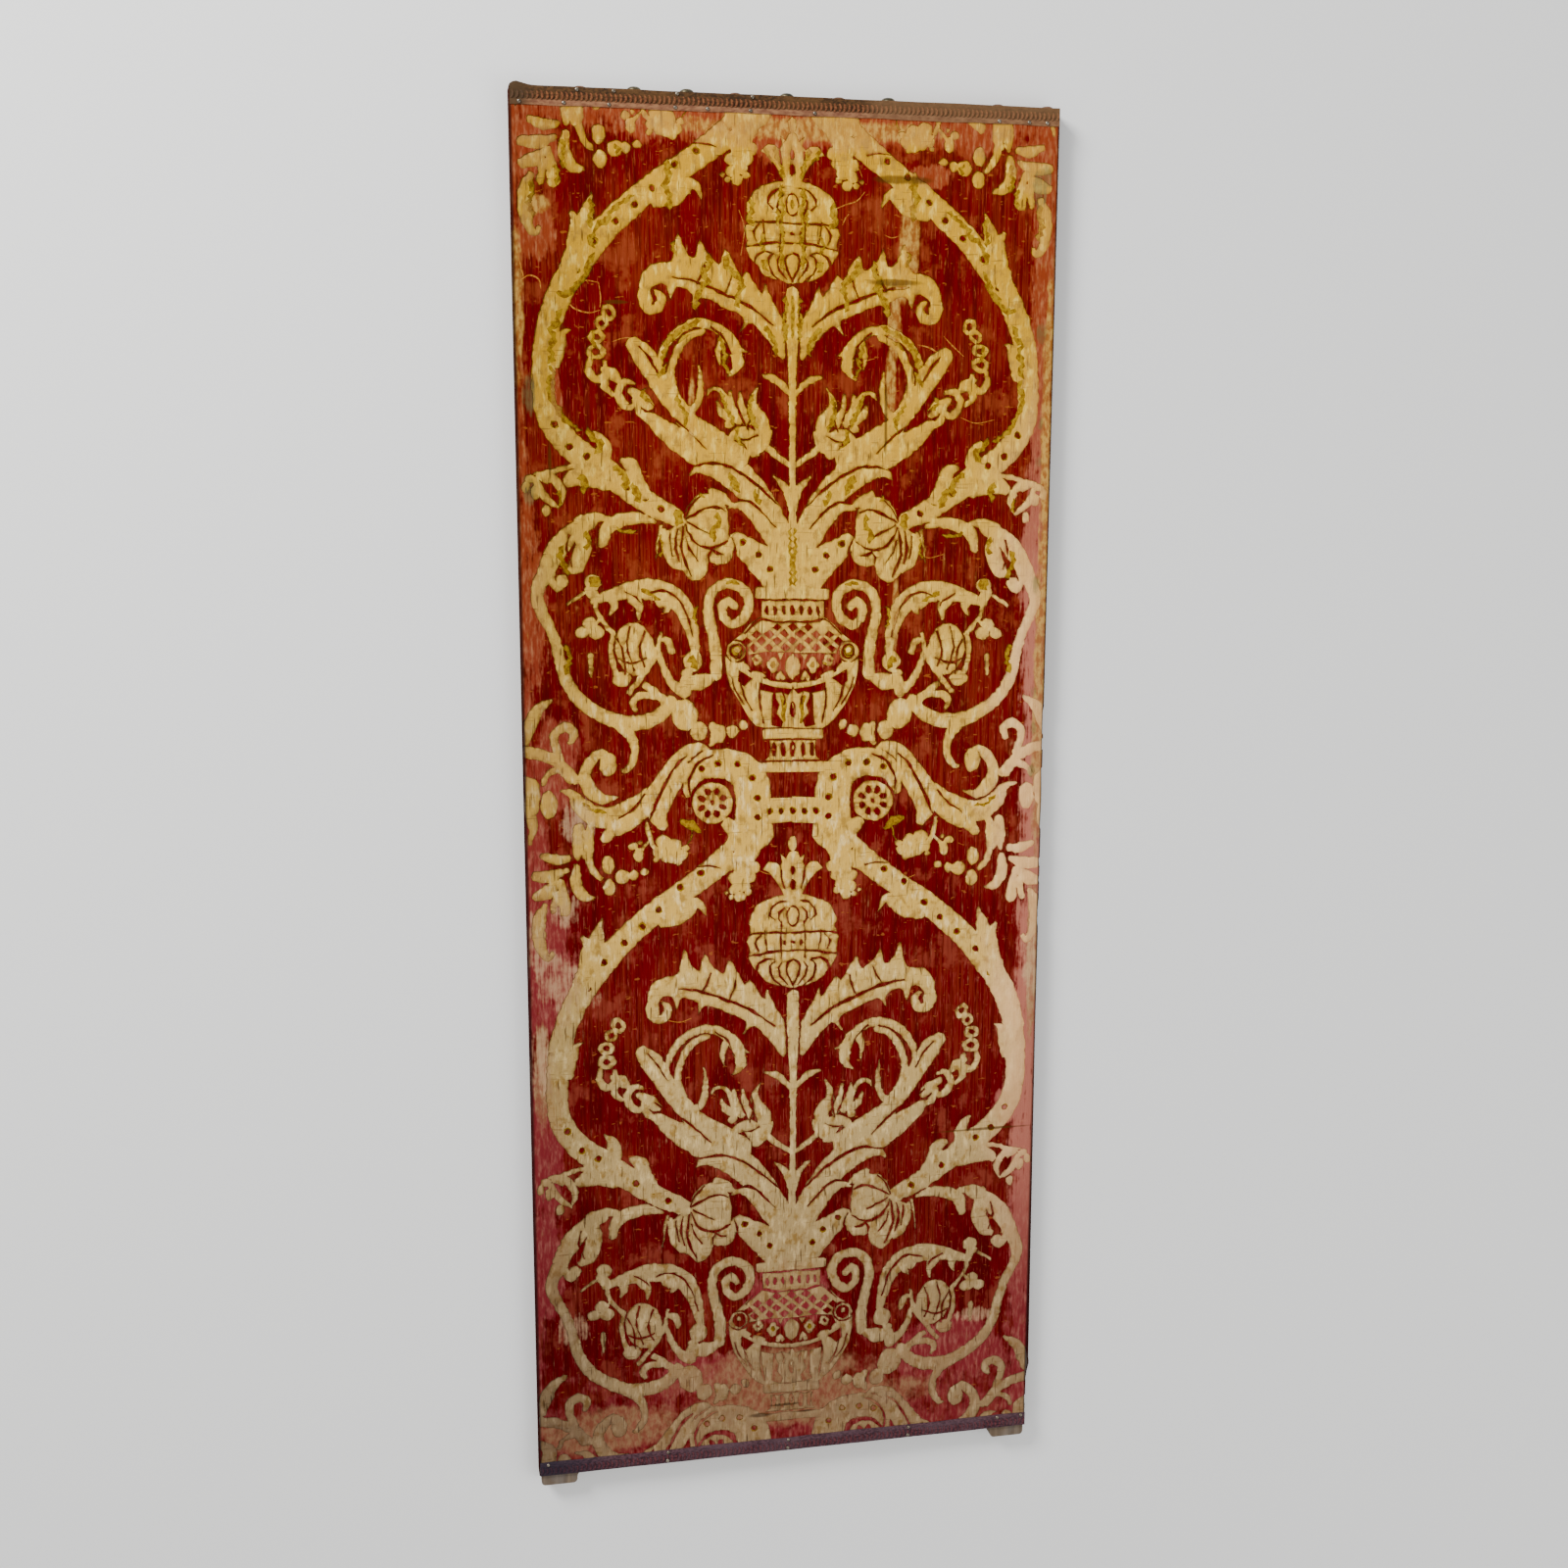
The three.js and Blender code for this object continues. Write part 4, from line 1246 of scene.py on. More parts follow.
# The colours of the pile, among them the painted shade along its edge and the painted sheen on its right
# side. The last two are pairs, one colour on the upper cloth and one on the lower.
PILE_DYES = ((0.080, 0.0, 0.0), (0.130, 0.0003, 0.0022))
PILE_BROWN = (0.178, 0.017, 0.0050)
PILE_BALD = (0.225, 0.040, 0.012)
PILE_STREAK = (0.30, 0.062, 0.024)
PILE_SHADOW = (0.062, 0.0, 0.0)
PILE_NICK = (0.30, 0.09, 0.012)
PILE_EDGE_SHADE = (0.075, 0.014, 0.003)
PILE_SHEEN_RIGHT = (0.50, 0.18, 0.12)
LOWER_PILE_TINT = (0.95, 0.90, 1.6)
ROSY_PILE = ((0.25, 0.042, 0.012), (0.23, 0.024, 0.028))
PALE_PILE = ((0.46, 0.18, 0.07), (0.41, 0.14, 0.100))


def crimson_pile():
    cloth = Finish("crimson_pile", True, Roughness=0.9, Specular_IOR_Level=0.0)
    wear = WearAndPaintedLight(cloth)
    streaks = cloth.noise((420, 9, 1), 3, 0.7)
    broad = cloth.noise((120, 7, 1), 3, 0.65, shift=(6, 6, 0))
    short_streaks = cloth.noise((650, 45, 1), 2, 0.6, shift=(3, 5, 0))
    patches = cloth.noise((11, 8, 1), 3, 0.6, shift=(7, 1, 0))
    base = cloth.mix(cloth.between(broad, 0.36, 0.62), *PILE_DYES)
    brown = cloth.times(cloth.between(streaks, 0.40, 0.64), cloth.between(patches, 0.42, 0.58))
    base = cloth.mix(cloth.times(brown, 0.9), base, PILE_BROWN)
    threadbare = cloth.noise((24, 20, 1), 4, 0.65, shift=(1, 6, 0))
    bald = cloth.times(cloth.between(threadbare, 0.53, 0.64, 0.8), cloth.between(broad, 0.34, 0.56))
    base = cloth.mix(bald, base, PILE_BALD)
    base = cloth.mix(cloth.between(short_streaks, 0.58, 0.73, 0.75), base, PILE_STREAK)
    base = cloth.mix(cloth.between(short_streaks, 0.43, 0.28, 0.5), base, PILE_SHADOW)
    nicks = cloth.noise((70, 150, 1), 2, 0.7, shift=(2, 8, 0))
    base = cloth.mix(cloth.between(nicks, 0.655, 0.70, 0.7), base, PILE_NICK)
    # Painted shade: the pile darker along the line where it meets the satin, less so towards the foot.
    base = cloth.mix(cloth.times(edge_of(cloth, 4.0), wear.unfaded(), 0.5), base, PILE_EDGE_SHADE)
    # The pile a little darker and bluer on the lower cloth.
    base = cloth.mix(wear.lower, base, LOWER_PILE_TINT, "MULTIPLY")
    # The pink of the margins and the pink places: partly worn pile, partly painted sheen.
    grain = cloth.noise((260, 60, 1), 3, 0.6, shift=(8, 2, 0))
    rosy, pale = cloth.mix(wear.lower, *ROSY_PILE), cloth.mix(wear.lower, *PALE_PILE)
    pink = cloth.mix(cloth.between(grain, 0.42, 0.80), rosy, pale)
    # Painted sheen: the pink paler on the right side.
    pink = cloth.mix(cloth.times(wear.right, 0.85), pink, PILE_SHEEN_RIGHT)
    base = wear_and_light_over(cloth, base, wear, pink, (0.80, 0.85, 0.6, 0.55), (0.40, 0.50))
    cloth.bump(cloth.maths("ADD", streaks, cloth.times(short_streaks, 0.6)), 0.6, 0.0008)
    return cloth.paint(base)


# The colours of the satin: by height, by light (painted highlights, painted sheen on the right, painted
# shade along the pile) and in its marks
SATIN_MIDDLE = (0.65, 0.380, 0.056)
SATIN_UPPER = (0.55, 0.285, 0.008)
SATIN_LOWER = (0.56, 0.38, 0.135)
SATIN_HEAD = (0.46, 0.225, 0.004)
SHINE_UPPER = (0.92, 0.62, 0.09)
SHINE_LOWER = (0.96, 0.69, 0.27)
SATIN_BLOTCH = (0.32, 0.165, 0.020)
SATIN_THREAD = (0.34, 0.19, 0.035)
SATIN_EDGE_SHADE_AND_OUTLINE = (0.235, 0.105, 0.010)
SATIN_CRACK = (0.10, 0.042, 0.006)
CROSS_CRACK = (0.16, 0.075, 0.012)
SATIN_SHEEN_RIGHT = (0.90, 0.52, 0.23)
SATIN_WORN_AND_SHEEN = (0.47, 0.22, 0.07)


def straw_satin():
    cloth = Finish("straw_satin", True, Roughness=0.5, Specular_IOR_Level=0.1)
    wear = WearAndPaintedLight(cloth)
    cloud = cloth.noise((14, 10, 1), 4, 0.6)
    height = cloth.maths("ADD", cloth.y, cloth.times(cloud, 0.3))
    base = cloth.mix(cloth.between(height, 1.15, 1.50), SATIN_MIDDLE, SATIN_UPPER)
    base = cloth.mix(cloth.between(height, 0.95, 0.55), base, SATIN_LOWER)
    base = cloth.mix(cloth.between(cloth.y, 1.48, 1.56, 0.8), base, SATIN_HEAD)
    blotch = cloth.noise((90, 60, 1), 4, 0.6, shift=(5, 2, 0))
    base = cloth.mix(cloth.between(blotch, 0.51, 0.66, 0.8), base, SATIN_BLOTCH)
    # Painted highlights: paler spots of satin that stand in for its sheen, whiter on the lower cloth.
    sheen_noise = cloth.noise((130, 45, 1), 3, 0.6, shift=(2, 9, 0))
    shine = cloth.mix(cloth.between(height, 1.25, 0.95), SHINE_UPPER, SHINE_LOWER)
    base = cloth.mix(cloth.between(sheen_noise, 0.50, 0.68, 0.7), base, shine)
    threads = cloth.noise((900, 60, 1), 1, 0.5)
    base = cloth.mix(cloth.between(threads, 0.54, 0.72, 0.5), base, SATIN_THREAD)
    # The satin darker along the line where it meets the pile, broken up by the blotches: partly a brown
    # outline, partly painted shade from the pile's edge.
    edge_shade_and_outline = cloth.times(edge_of(cloth, 1.4), wear.unfaded(), cloth.between(blotch, 0.25, 0.60))
    base = cloth.mix(cloth.times(edge_shade_and_outline, 0.9), base, SATIN_EDGE_SHADE_AND_OUTLINE)
    cracks = cloth.noise((330, 26, 1), 2, 0.6, shift=(9, 4, 0))
    base = cloth.mix(cloth.between(cracks, 0.62, 0.67, 0.8), base, SATIN_CRACK)
    cross_cracks = cloth.noise((28, 360, 1), 2, 0.6, shift=(3, 3, 0))
    base = cloth.mix(cloth.between(cross_cracks, 0.65, 0.69, 0.6), base, CROSS_CRACK)
    # Painted sheen: the satin paler towards the right side.
    base = cloth.mix(cloth.times(wear.right, 0.75), base, SATIN_SHEEN_RIGHT)
    base = wear_and_light_over(cloth, base, wear, SATIN_WORN_AND_SHEEN, (0.30, 0.35, 0.3, 0.6), (0.90, 0.95))
    cloth.bump(cloth.maths("ADD", blotch, cloth.times(threads, 0.3)), 0.8, 0.0016)
    return cloth.paint(base)


def ochre_weft():
    cloth = Finish("ochre_weft", True, Roughness=0.8, Specular_IOR_Level=0.05)
    wear = WearAndPaintedLight(cloth)
    blotch = cloth.noise((190, 130, 1), 4, 0.7)
    base = cloth.mix(cloth.between(blotch, 0.42, 0.54), (0.18, 0.080, 0.002), (0.32, 0.178, 0.006))
    base = cloth.mix(cloth.between(blotch, 0.58, 0.70, 0.6), base, (0.52, 0.33, 0.03))
    base = wear_and_light_over(cloth, base, wear, (0.40, 0.16, 0.05), (0.3, 0.2, 0.3, 0.6), (0.8, 0.9))
    cloth.bump(blotch, 0.7, 0.0015)
    return cloth.paint(base)


def scratched_pile():
    """Pile rubbed away along a thin line, so that the orange weft shows."""
    cloth = Finish("scratched_pile", True, Roughness=0.9, Specular_IOR_Level=0.0)
    rubbed = cloth.between(cloth.noise((300, 300, 1), 2, 0.6), 0.35, 0.65)
    return cloth.paint(cloth.mix(rubbed, (0.22, 0.060, 0.008), (0.44, 0.19, 0.03)))


def plain_back():
    cloth = Finish("plain_back", True, Roughness=0.9)
    weave = cloth.noise((500, 500, 1), 2, 0.5)
    return cloth.paint(cloth.mix(weave, (0.33, 0.20, 0.12), (0.46, 0.30, 0.18)))


def old_wood():
    wood = Finish("old_wood", Roughness=0.75, Specular_IOR_Level=0.3)
    grain = wood.noise((160, 9, 90), 4, 0.6)
    dirt = wood.noise((25, 18, 25), 3, 0.6)
    base = wood.mix(wood.between(grain, 0.35, 0.7), (0.085, 0.055, 0.032), (0.17, 0.12, 0.075))
    base = wood.mix(wood.between(dirt, 0.45, 0.7, 0.6), base, (0.13, 0.11, 0.095))
    wood.bump(grain, 0.4, 0.0006)
    return wood.paint(base)


# The braids' threads: dark, light, and dusty
BRAID_COLOURS = {
    "head_braid_ground": ((0.024, 0.010, 0.002), (0.075, 0.032, 0.008), (0.10, 0.045, 0.012)),
    "head_braid_ribs": ((0.07, 0.020, 0.007), (0.20, 0.068, 0.023), (0.14, 0.056, 0.019)),
    "foot_braid_ground": ((0.026, 0.009, 0.014), (0.080, 0.034, 0.044), (0.080, 0.044, 0.054)),
    "foot_braid_ribs": ((0.028, 0.006, 0.009), (0.115, 0.028, 0.034), (0.095, 0.042, 0.050)),
}
FOOT_BRAID_ENDS = {"foot_braid_ground": (0.010, 0.009, 0.018), "foot_braid_ribs": (0.012, 0.007, 0.016)}
BRAID_JOIN = (0.070, 0.095)


def braid_thread(name):
    thread = Finish(name, Roughness=0.8, Specular_IOR_Level=0.2)
    dark, light, dust = BRAID_COLOURS[name]
    wear = thread.noise((300, 500, 500), 3, 0.6)
    dusty = thread.noise((18, 60, 60), 3, 0.6)
    base = thread.mix(thread.between(wear, 0.35, 0.65), dark, light)
    base = thread.mix(thread.between(dusty, 0.45, 0.7, 0.5), base, dust)
    thread.bump(wear, 0.5, 0.0006)
    return thread, base


def head_braid_ground():
    """Dark and greasy above its ribs, rosy below them, and paler from the join on the right."""
    thread, base = braid_thread("head_braid_ground")
    low_edge = LOW_Y + (FACE_HEIGHT - HEAD_BRAID["height"]) * MM
    wear = thread.noise((120, 260, 260), 3, 0.6, shift=(5, 5, 5))
    rosy = thread.mix(thread.between(wear, 0.3, 0.7), (0.14, 0.050, 0.024), (0.28, 0.130, 0.060))
    base = thread.mix(thread.between(thread.y, low_edge + 0.0065, low_edge + 0.0045), base, rosy)
    newer = thread.mix(wear, (0.09, 0.043, 0.017), (0.21, 0.110, 0.046))
    base = thread.mix(thread.between(thread.x, *BRAID_JOIN, 0.55), base, newer)
    corner = thread.between(thread.x, -0.275, -0.300, 0.85)
    return thread.paint(thread.mix(corner, base, (0.045, 0.024, 0.008)))


def head_braid_ribs():
    thread, base = braid_thread("head_braid_ribs")
    corner = thread.between(thread.x, -0.270, -0.298, 0.8)
    base = thread.mix(corner, base, (0.040, 0.025, 0.012))
    newer = thread.between(thread.x, *BRAID_JOIN, 0.4)
    return thread.paint(thread.mix(newer, base, (0.17, 0.090, 0.039)))


def foot_braid_thread(name):
    """Dull purple, and nearly black at its left end."""
    thread, base = braid_thread(name)
    left_end = thread.between(thread.x, -0.20, -0.30, 0.75)
    return thread.paint(thread.mix(left_end, base, FOOT_BRAID_ENDS[name]))


# Metallic, roughness, and the dark and the light of the tarnish
BRONZES = {
    "dark_bronze": (0.85, 0.42, (0.035, 0.032, 0.018), (0.12, 0.095, 0.05)),
    "brown_bronze": (0.6, 0.5, (0.07, 0.03, 0.015), (0.18, 0.08, 0.04)),
}


def tarnished_bronze(name):
    metallic, roughness, dark, light = BRONZES[name]
    bronze = Finish(name, Metallic=metallic, Roughness=roughness)
    tarnish = bronze.noise((140, 140, 140), 3, 0.6)
    return bronze.paint(bronze.mix(bronze.between(tarnish, 0.35, 0.65), dark, light))


def bright_tin():
    tin = Finish("bright_tin", Metallic=0.9, Roughness=0.35)
    dull = tin.noise((300, 300, 300), 2, 0.6)
    return tin.paint(tin.mix(tin.between(dull, 0.3, 0.7), (0.11, 0.085, 0.06), (0.30, 0.26, 0.20)))


# Pieces

def add_piece(name, mesh, finishes):
    piece = bpy.data.objects.new(name, mesh)
    bpy.context.scene.collection.objects.link(piece)
    for finish in finishes:
        mesh.materials.append(finish)
    return piece


FRAME_NODES = ["left_stile", "right_stile", "top_rail", "middle_rail", "bottom_rail"]
WOODEN_NODES = FRAME_NODES + ["left_foot", "right_foot"]


def add_velvet():
    mesh = woven_velvet()
    piece = add_piece("figured_velvet", mesh, [
        crimson_pile(), straw_satin(), ochre_weft(), plain_back(), scratched_pile(),
    ])
    mesh.shade_smooth()
    mesh.set_sharp_from_angle(angle=math.radians(50))
    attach(piece, "root")
    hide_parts("velvet")
    return piece


def swept_strip(name, sections):
    """A closed solid through like sections, each a list of places in the row frame."""
    count = len(sections[0])
    places = [place for section in sections for place in section]
    faces = [list(range(count)), [len(places) - 1 - k for k in range(count)]]
    for s in range(len(sections) - 1):
        for k in range(count):
            here, there, following = s * count, (s + 1) * count, (k + 1) % count
            faces.append([here + k, there + k, there + following, here + following])
    mesh = bpy.data.meshes.new(name)
    mesh.from_pydata(places, [], faces)
    return mesh


def corner_lump(x):
    """How far the folded corner stands above the head: rounded at its left, sloping to the right."""
    along = x + HALF - GAP
    return 6.5 * math.exp(-((along - 5) / 12) ** 2) * (0.25 + 0.75 * float(smooth(along / 6)))


def wander(x, pace, seed):
    """A slow uneven sway between -1 and 1."""
    return math.sin(x / pace + seed) * 0.6 + math.sin(x / pace * 2.7 + seed * 2.3) * 0.4


def head_sections():
    low = FACE_HEIGHT - HEAD_BRAID["height"]
    sections = []
    for x in grid_values(-HALF + GAP, HALF - GAP, 4.0):
        lump = corner_lump(x)
        front = BRAID_FACE + 0.25 * wander(x, 17, 1)
        edge = low + 0.5 * wander(x, 23, 4)
        top = FACE_HEIGHT + 0.3 * wander(x, 31, 2)
        outline = [
            (edge, BRAID_BACK), (edge - 0.2, front - 0.3), (edge + 0.5, front),
            (low + HEAD_BRAID["band_low"], front), (low + HEAD_BRAID["band_high"], front),
            (top - 1 + 0.6 * lump, front), (top + 0.6 * lump, front - 0.8), (top + lump, 12),
            (top + lump, HEAD_BRAID_BACK), (FACE_HEIGHT - BRAID, HEAD_BRAID_BACK),
            (FACE_HEIGHT - BRAID, BRAID_BACK),
        ]
        sections.append([in_row(x, y, z) for y, z in outline])
    return sections


def foot_sections():
    sections = []
    for x in grid_values(-HALF + GAP, HALF - GAP, 4.0):
        front = BRAID_FACE + 0.25 * wander(x, 19, 3)
        edge = FOOT_BRAID["height"] + 0.5 * wander(x, 27, 5)
        outline = [
            (0.1, BRAID_BACK), (0, front - 0.4), (0.5, front), (FOOT_BRAID["band_low"], front),
            (FOOT_BRAID["band_high"], front), (edge - 0.5, front), (edge, front - 0.4), (edge, BRAID_BACK),
        ]
        sections.append([in_row(x, y, z) for y, z in outline])
    return sections


# The braids' ribs, in millimetres: how far the middle leans, the radius, how far each is set back to the
# left, how unevenly they are placed, and, in radians, how far they turn
RIB_LEAN = 1.5
RIB_RADIUS = 1.5
RIB_SET_BACK = 0.7
RIB_UNEVENNESS = 0.2
RIB_TURN = 0.18


def crescent_mesh(height, finish):
    """One bent rib of the braid: a short cord whose middle leans to the right."""
    rings, sides = 7, 6
    places, faces = [], []
    for i in range(rings):
        t = i / (rings - 1) * 2 - 1
        lean = RIB_LEAN * (1 - t * t)
        radius = RIB_RADIUS * math.sqrt(max(1.04 - t * t * 0.75, 0))
        for k in range(sides):
            angle = math.tau * k / sides
            x, z = lean + radius * math.cos(angle), radius * 0.8 * math.sin(angle)
            places.append((x * MM, t * height / 2 * MM, z * MM))
    for i in range(rings - 1):
        for k in range(sides):
            a, b = i * sides + k, i * sides + (k + 1) % sides
            faces.append([a, b, b + sides, a + sides])
    faces += [list(range(sides))[::-1], list(range(len(places) - sides, len(places)))]
    mesh = bpy.data.meshes.new("rib")
    mesh.from_pydata(places, [], faces)
    mesh.materials.append(finish)
    return mesh


def node_tree(name, inputs):
    """A new Geometry Nodes tree with its named inputs and a geometry output."""
    tree = bpy.data.node_groups.new(name, "GeometryNodeTree")
    tree.interface.new_socket("Geometry", in_out="INPUT", socket_type="NodeSocketGeometry")
    for label, kind in inputs:
        tree.interface.new_socket(label, in_out="INPUT", socket_type=kind)
    tree.interface.new_socket("Geometry", in_out="OUTPUT", socket_type="NodeSocketGeometry")
    return tree, tree.nodes.new("NodeGroupInput"), tree.nodes.new("NodeGroupOutput")


def link(tree, pairs):
    for output, socket in pairs:
        tree.links.new(output, socket)


def add_node(tree, kind, inputs=None, **settings):
    """A node of the tree with these settings and input values."""
    node = tree.nodes.new(kind)
    for name, value in settings.items():
        setattr(node, name, value)
    for name, value in (inputs or {}).items():
        node.inputs[name].default_value = value
    return node


def rib_tree():
    """Ribs set in a row along the braid, joined to its strip."""
    tree, given, result = node_tree("braid_ribs", [
        ("Rib", "NodeSocketObject"), ("Count", "NodeSocketInt"), ("Start", "NodeSocketVector"),
        ("Spacing", "NodeSocketFloat"), ("Unevenness", "NodeSocketFloat"), ("Finish", "NodeSocketMaterial"),
    ])
    row = add_node(tree, "GeometryNodeMeshLine")
    offset = add_node(tree, "ShaderNodeCombineXYZ")
    rib = add_node(tree, "GeometryNodeObjectInfo")
    sway = add_node(tree, "FunctionNodeRandomValue", {"Seed": 11}, data_type="FLOAT_VECTOR")
    least = add_node(tree, "ShaderNodeVectorMath", {0: (-1, -1, -0.3)}, operation="SCALE")
    most = add_node(tree, "ShaderNodeVectorMath", {0: (1, 1, 0.3)}, operation="SCALE")
    shift = add_node(tree, "GeometryNodeSetPosition")
    turn = add_node(
        tree, "FunctionNodeRandomValue", {"Min": (0, 0, -RIB_TURN), "Max": (0, 0, RIB_TURN), "Seed": 5},
        data_type="FLOAT_VECTOR",
    )
    place = add_node(tree, "GeometryNodeInstanceOnPoints")
    plain = add_node(tree, "GeometryNodeRealizeInstances")
    dye = add_node(tree, "GeometryNodeSetMaterial")
    joined = add_node(tree, "GeometryNodeJoinGeometry")
    link(tree, [
        (given.outputs["Count"], row.inputs["Count"]),
        (given.outputs["Start"], row.inputs["Start Location"]),
        (given.outputs["Spacing"], offset.inputs["X"]),
        (offset.outputs[0], row.inputs["Offset"]),
        (given.outputs["Rib"], rib.inputs["Object"]),
        (given.outputs["Unevenness"], least.inputs["Scale"]),
        (given.outputs["Unevenness"], most.inputs["Scale"]),
        (least.outputs[0], sway.inputs["Min"]),
        (most.outputs[0], sway.inputs["Max"]),
        (row.outputs[0], shift.inputs["Geometry"]),
        (sway.outputs["Value"], shift.inputs["Offset"]),
        (shift.outputs[0], place.inputs["Points"]),
        (rib.outputs["Geometry"], place.inputs["Instance"]),
        (turn.outputs["Value"], place.inputs["Rotation"]),
        (place.outputs[0], plain.inputs[0]),
        (plain.outputs[0], dye.inputs["Geometry"]),
        (given.outputs["Finish"], dye.inputs["Material"]),
        (given.outputs["Geometry"], joined.inputs[0]),
        (dye.outputs[0], joined.inputs[0]),
        (joined.outputs[0], result.inputs[0]),
    ])
    return tree


def made_by(tree, mesh, values, name):
    """Runs the tree on a mesh and keeps what it makes as a plain mesh."""
    maker = bpy.data.objects.new(name + "_maker", mesh)
    bpy.context.scene.collection.objects.link(maker)
    modifier = maker.modifiers.new("make", "NODES")
    modifier.node_group = tree
    for item in tree.interface.items_tree:
        if item.in_out == "INPUT" and item.name in values:
            modifier[item.identifier] = values[item.name]
    depsgraph = bpy.context.evaluated_depsgraph_get()
    made = bpy.data.meshes.new_from_object(maker.evaluated_get(depsgraph), depsgraph=depsgraph)
    maker.modifiers.clear()
    bpy.data.objects.remove(maker)
    made.name = name
    return add_piece(name, made, [])


def hidden_pattern(name, mesh):
    """A loose object that a tree copies, gone again once the tree has run."""
    return add_piece(name, mesh, [])


def add_braid(name, sections, low, braid, strip_finish, rib_finish, node):
    """A flat strip with a row of ribs along its band."""
    strip = swept_strip(name + "_strip", sections)
    strip.materials.append(strip_finish)
    band_height = braid["band_high"] - braid["band_low"]
    band_middle = low + (braid["band_low"] + braid["band_high"]) / 2
    rib = hidden_pattern(name + "_rib", crescent_mesh(band_height, rib_finish))
    spacing = (FACE_WIDTH - 2 * GAP) / RIBS
    start = in_row(-HALF + GAP + spacing / 2 - RIB_SET_BACK, band_middle, BRAID_FACE)
    piece = made_by(rib_tree(), strip, {
        "Rib": rib, "Count": RIBS, "Start": start, "Spacing": spacing * MM,
        "Unevenness": RIB_UNEVENNESS * MM, "Finish": rib_finish,
    }, name)
    bpy.data.objects.remove(rib)
    piece.data.shade_smooth()
    piece.data.set_sharp_from_angle(angle=math.radians(45))
    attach(piece, "root")
    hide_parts(node)
    return piece


# A nail head from its rim to its top, as shares of its radius and its height
DOME = ((1, 0), (1, 0.08), (0.97, 0.3), (0.85, 0.6), (0.6, 0.86), (0.3, 0.97))


def dome_mesh(radius, height):
    """A nail head: a closed dome on a flat ring, its axis up Z."""
    sides = 20
    profile = [(radius * out, height * up) for out, up in DOME]
    places = [
        (out * math.cos(math.tau * k / sides), out * math.sin(math.tau * k / sides), up)
        for out, up in profile for k in range(sides)
    ]
    places.append((0, 0, height))
    faces = [list(range(sides))[::-1]]
    for ring in range(len(profile) - 1):
        for k in range(sides):
            a, b = ring * sides + k, ring * sides + (k + 1) % sides
            faces.append([a, b, b + sides, a + sides])
    last = (len(profile) - 1) * sides
    faces += [[last + k, last + (k + 1) % sides, len(places) - 1] for k in range(sides)]
    mesh = bpy.data.meshes.new("dome")
    mesh.from_pydata([tuple(value * MM for value in place) for place in places], [], faces)
    return mesh


def nail_tree():
    """A nail head on every point of the given mesh."""
    tree, given, result = node_tree("nail_heads", [
        ("Head", "NodeSocketObject"), ("Turn", "NodeSocketVector"), ("Finish", "NodeSocketMaterial"),
    ])
    head = add_node(tree, "GeometryNodeObjectInfo")
    size = add_node(tree, "FunctionNodeRandomValue", {2: 0.92, 3: 1.0, "Seed": 3})
    place = add_node(tree, "GeometryNodeInstanceOnPoints")
    plain = add_node(tree, "GeometryNodeRealizeInstances")
    dye = add_node(tree, "GeometryNodeSetMaterial")
    link(tree, [
        (given.outputs["Head"], head.inputs["Object"]),
        (given.outputs["Geometry"], place.inputs["Points"]),
        (head.outputs["Geometry"], place.inputs["Instance"]),
        (given.outputs["Turn"], place.inputs["Rotation"]),
        (size.outputs[1], place.inputs["Scale"]),
        (place.outputs[0], plain.inputs[0]),
        (plain.outputs[0], dye.inputs["Geometry"]),
        (given.outputs["Finish"], dye.inputs["Material"]),
        (dye.outputs[0], result.inputs[0]),
    ])
    return tree


def nodes_called(prefix):
    """The frame's nodes with this name and a number, in the order of their names."""
    return sorted(
        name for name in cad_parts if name.startswith(prefix) and name[len(prefix):].isdigit()
    )


def add_nails(name, prefixes, upward, finish):
    """Rounder heads in place of the plain ones of these nodes, standing up Y or up Z."""
    nodes = [node for prefix in prefixes for node in nodes_called(prefix)]
    boxes = [tuple(Vector(corner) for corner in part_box(node)) for node in nodes]
    axis = "XYZ".index(upward)
    places = []
    for low, high in boxes:
        place = (low + high) / 2
        place[axis] = low[axis]
        places.append(place)
    low, high = boxes[0]
    dome = dome_mesh((high.x - low.x) / 2 / MM, (high[axis] - low[axis]) / MM)
    head = hidden_pattern(name + "_head", dome)
    points = bpy.data.meshes.new(name + "_places")
    points.from_pydata(places, [], [])
    turn = (-math.pi / 2, 0, 0) if upward == "Y" else (0, 0, 0)
    piece = made_by(nail_tree(), points, {"Head": head, "Turn": turn, "Finish": finish}, name)
    bpy.data.objects.remove(head)
    piece.data.shade_smooth()
    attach(piece, "root")
    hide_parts(*nodes)
    return piece


def finish_wood():
    wood = old_wood()
    for name in WOODEN_NODES:
        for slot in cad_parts[name].material_slots:
            slot.material = wood


# Floor, light and camera

FLOOR_HALF = 8
FLOOR_LEVEL = -0.0005


def add_floor():
    mesh = bpy.data.meshes.new("floor")
    corners = ((-1, -1), (1, -1), (1, 1), (-1, 1))
    places = [(x * FLOOR_HALF, y * FLOOR_HALF, FLOOR_LEVEL) for x, y in corners]
    mesh.from_pydata(places, [], [(0, 1, 2, 3)])
    paint = Finish("pale_floor", Base_Color=(0.85, 0.85, 0.84, 1), Roughness=0.9)
    floor = add_piece("floor", mesh, [paint.material])


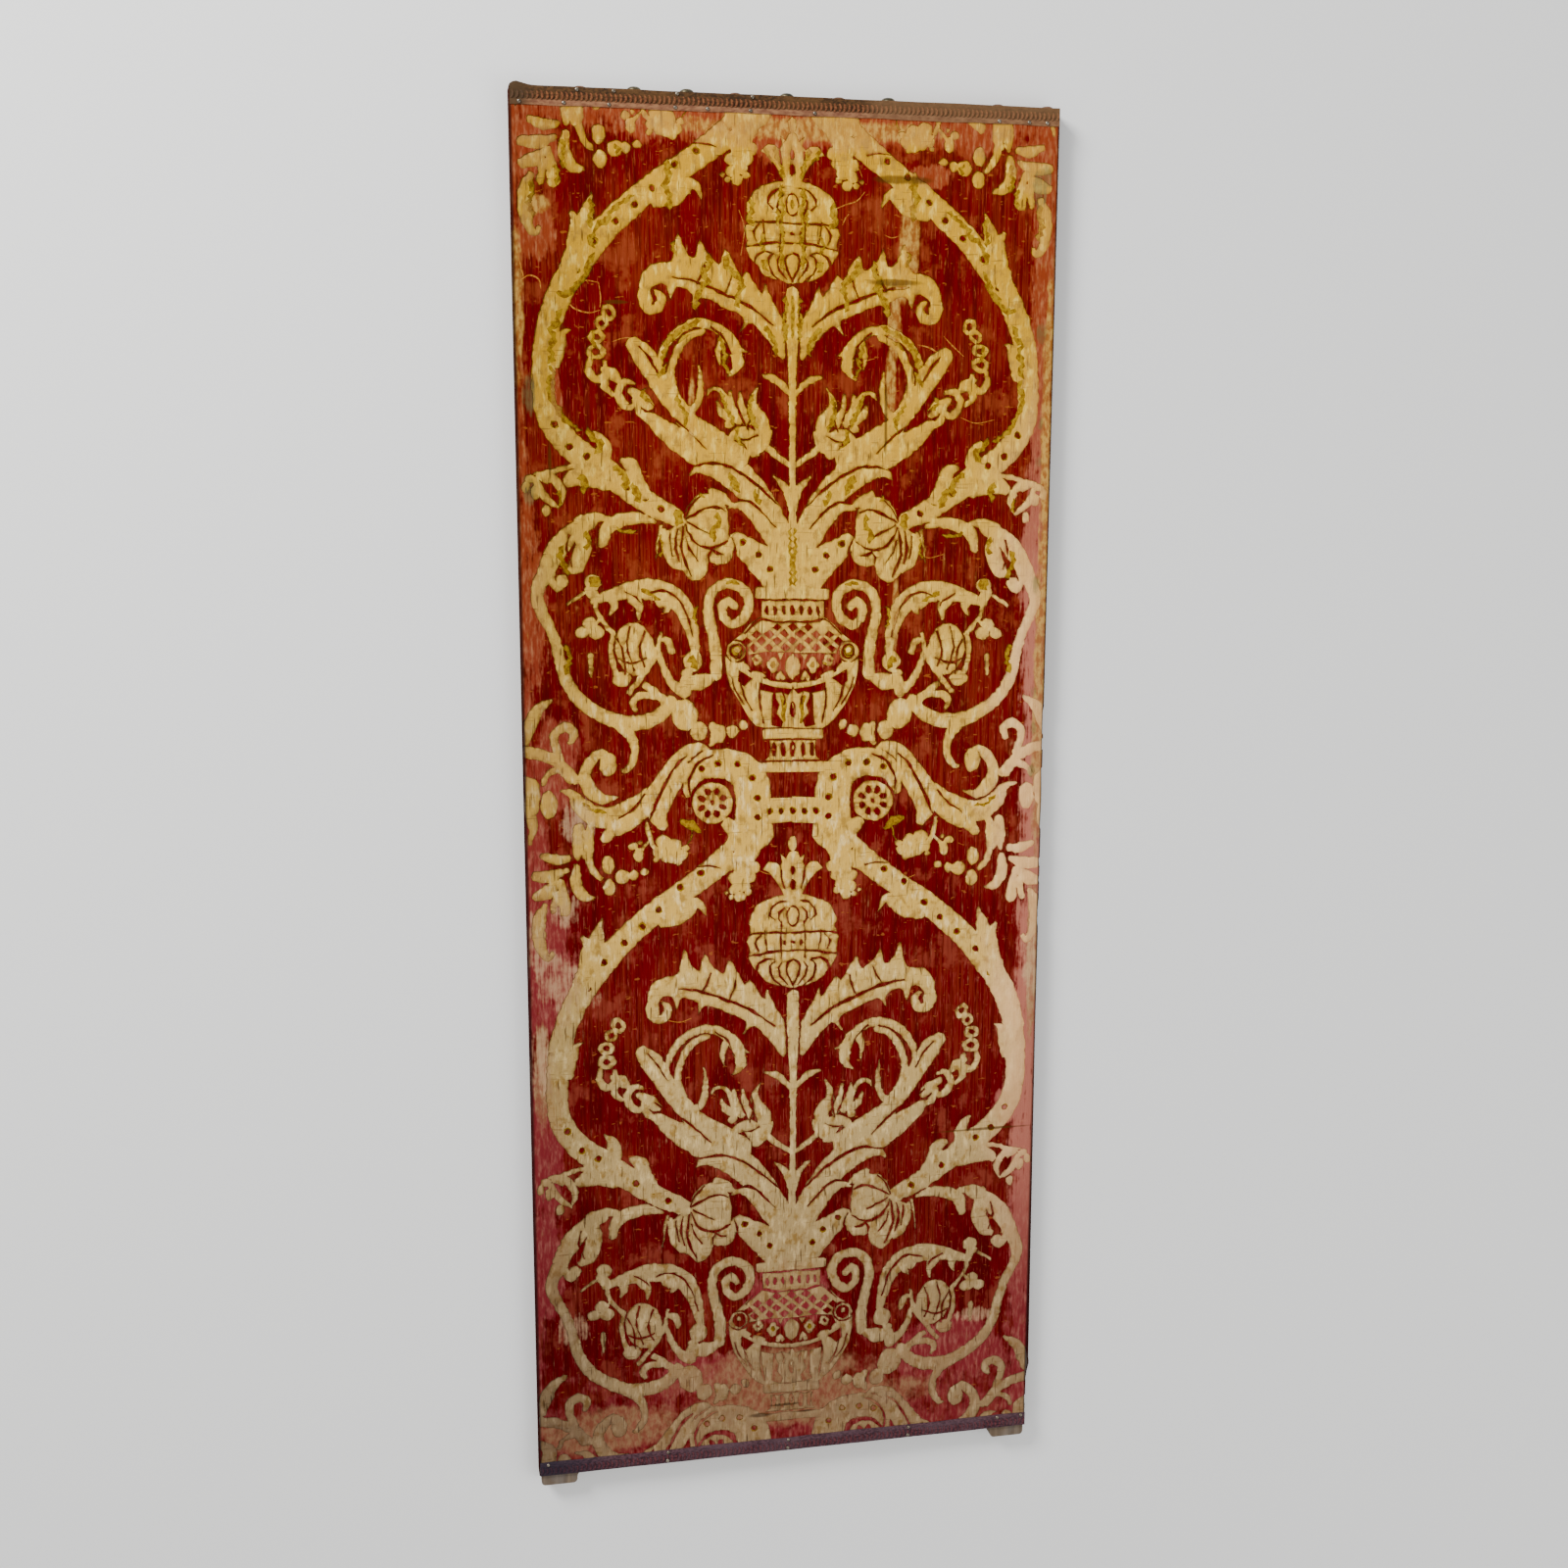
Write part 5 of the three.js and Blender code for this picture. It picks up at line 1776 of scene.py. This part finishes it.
def add_light(name, place, aim, size, power):
    """A soft lamp with its place, its aim and its size in metres and its power in watts."""
    lamp = bpy.data.lights.new(name, "AREA")
    lamp.shape = "RECTANGLE"
    lamp.size, lamp.size_y = size
    lamp.energy = power
    light = bpy.data.objects.new(name, lamp)
    bpy.context.scene.collection.objects.link(light)
    light.location = place
    light.rotation_euler = (Vector(aim) - Vector(place)).to_track_quat("-Z", "Y").to_euler()


def light_scene():
    add_light("key", (-2.4, 2.6, 1.9), (0, 0.1, 0), (1.2, 1.2), 215)
    add_light("fill", (2.2, -1.0, 2.6), (0, 0, 0), (2.0, 2.0), 32)
    world = bpy.data.worlds.new("studio")
    world.use_nodes = True
    world.node_tree.nodes["Background"].inputs["Color"].default_value = (1, 1, 1, 1)
    world.node_tree.nodes["Background"].inputs["Strength"].default_value = 0.75
    bpy.context.scene.world = world


# The camera, in millimetres of lens and sensor, metres and degrees
LENS = 41.64
SENSOR = 36
CAMERA_PLACE = (-0.4283, 0.40163, 2.04214)
CAMERA_AIM = (-0.01113, 0.04263, 0.022)
CAMERA_ROLL = 0.137


def add_camera():
    lens = bpy.data.cameras.new("camera")
    lens.lens = LENS
    lens.sensor_width = SENSOR
    camera = bpy.data.objects.new("camera", lens)
    bpy.context.scene.collection.objects.link(camera)
    back = (Vector(CAMERA_PLACE) - Vector(CAMERA_AIM)).normalized()
    right = Vector((0, 1, 0)).cross(back).normalized()
    turn = Matrix((right, back.cross(right), back)).transposed()
    turn = turn @ Matrix.Rotation(math.radians(CAMERA_ROLL), 3, "Z")
    camera.matrix_world = Matrix.Translation(CAMERA_PLACE) @ turn.to_4x4()
    bpy.context.scene.camera = camera


draw_figure()
add_velvet()
finish_wood()
add_braid(
    "head_braid_gimp", head_sections(), FACE_HEIGHT - HEAD_BRAID["height"], HEAD_BRAID,
    head_braid_ground(), head_braid_ribs(), "head_braid",
)
add_braid(
    "foot_braid_gimp", foot_sections(), 0, FOOT_BRAID,
    foot_braid_thread("foot_braid_ground"), foot_braid_thread("foot_braid_ribs"), "foot_braid",
)
add_nails("domed_nails", ["nail_"], "Y", tarnished_bronze("dark_bronze"))
add_nails("flat_nails", ["low_nail_"], "Y", tarnished_bronze("brown_bronze"))
add_nails(
    "braid_tacks", ["head_tack_low_", "head_tack_high_", "foot_tack_high_", "foot_tack_low_"], "Z",
    bright_tin(),
)
add_floor()
light_scene()
add_camera()
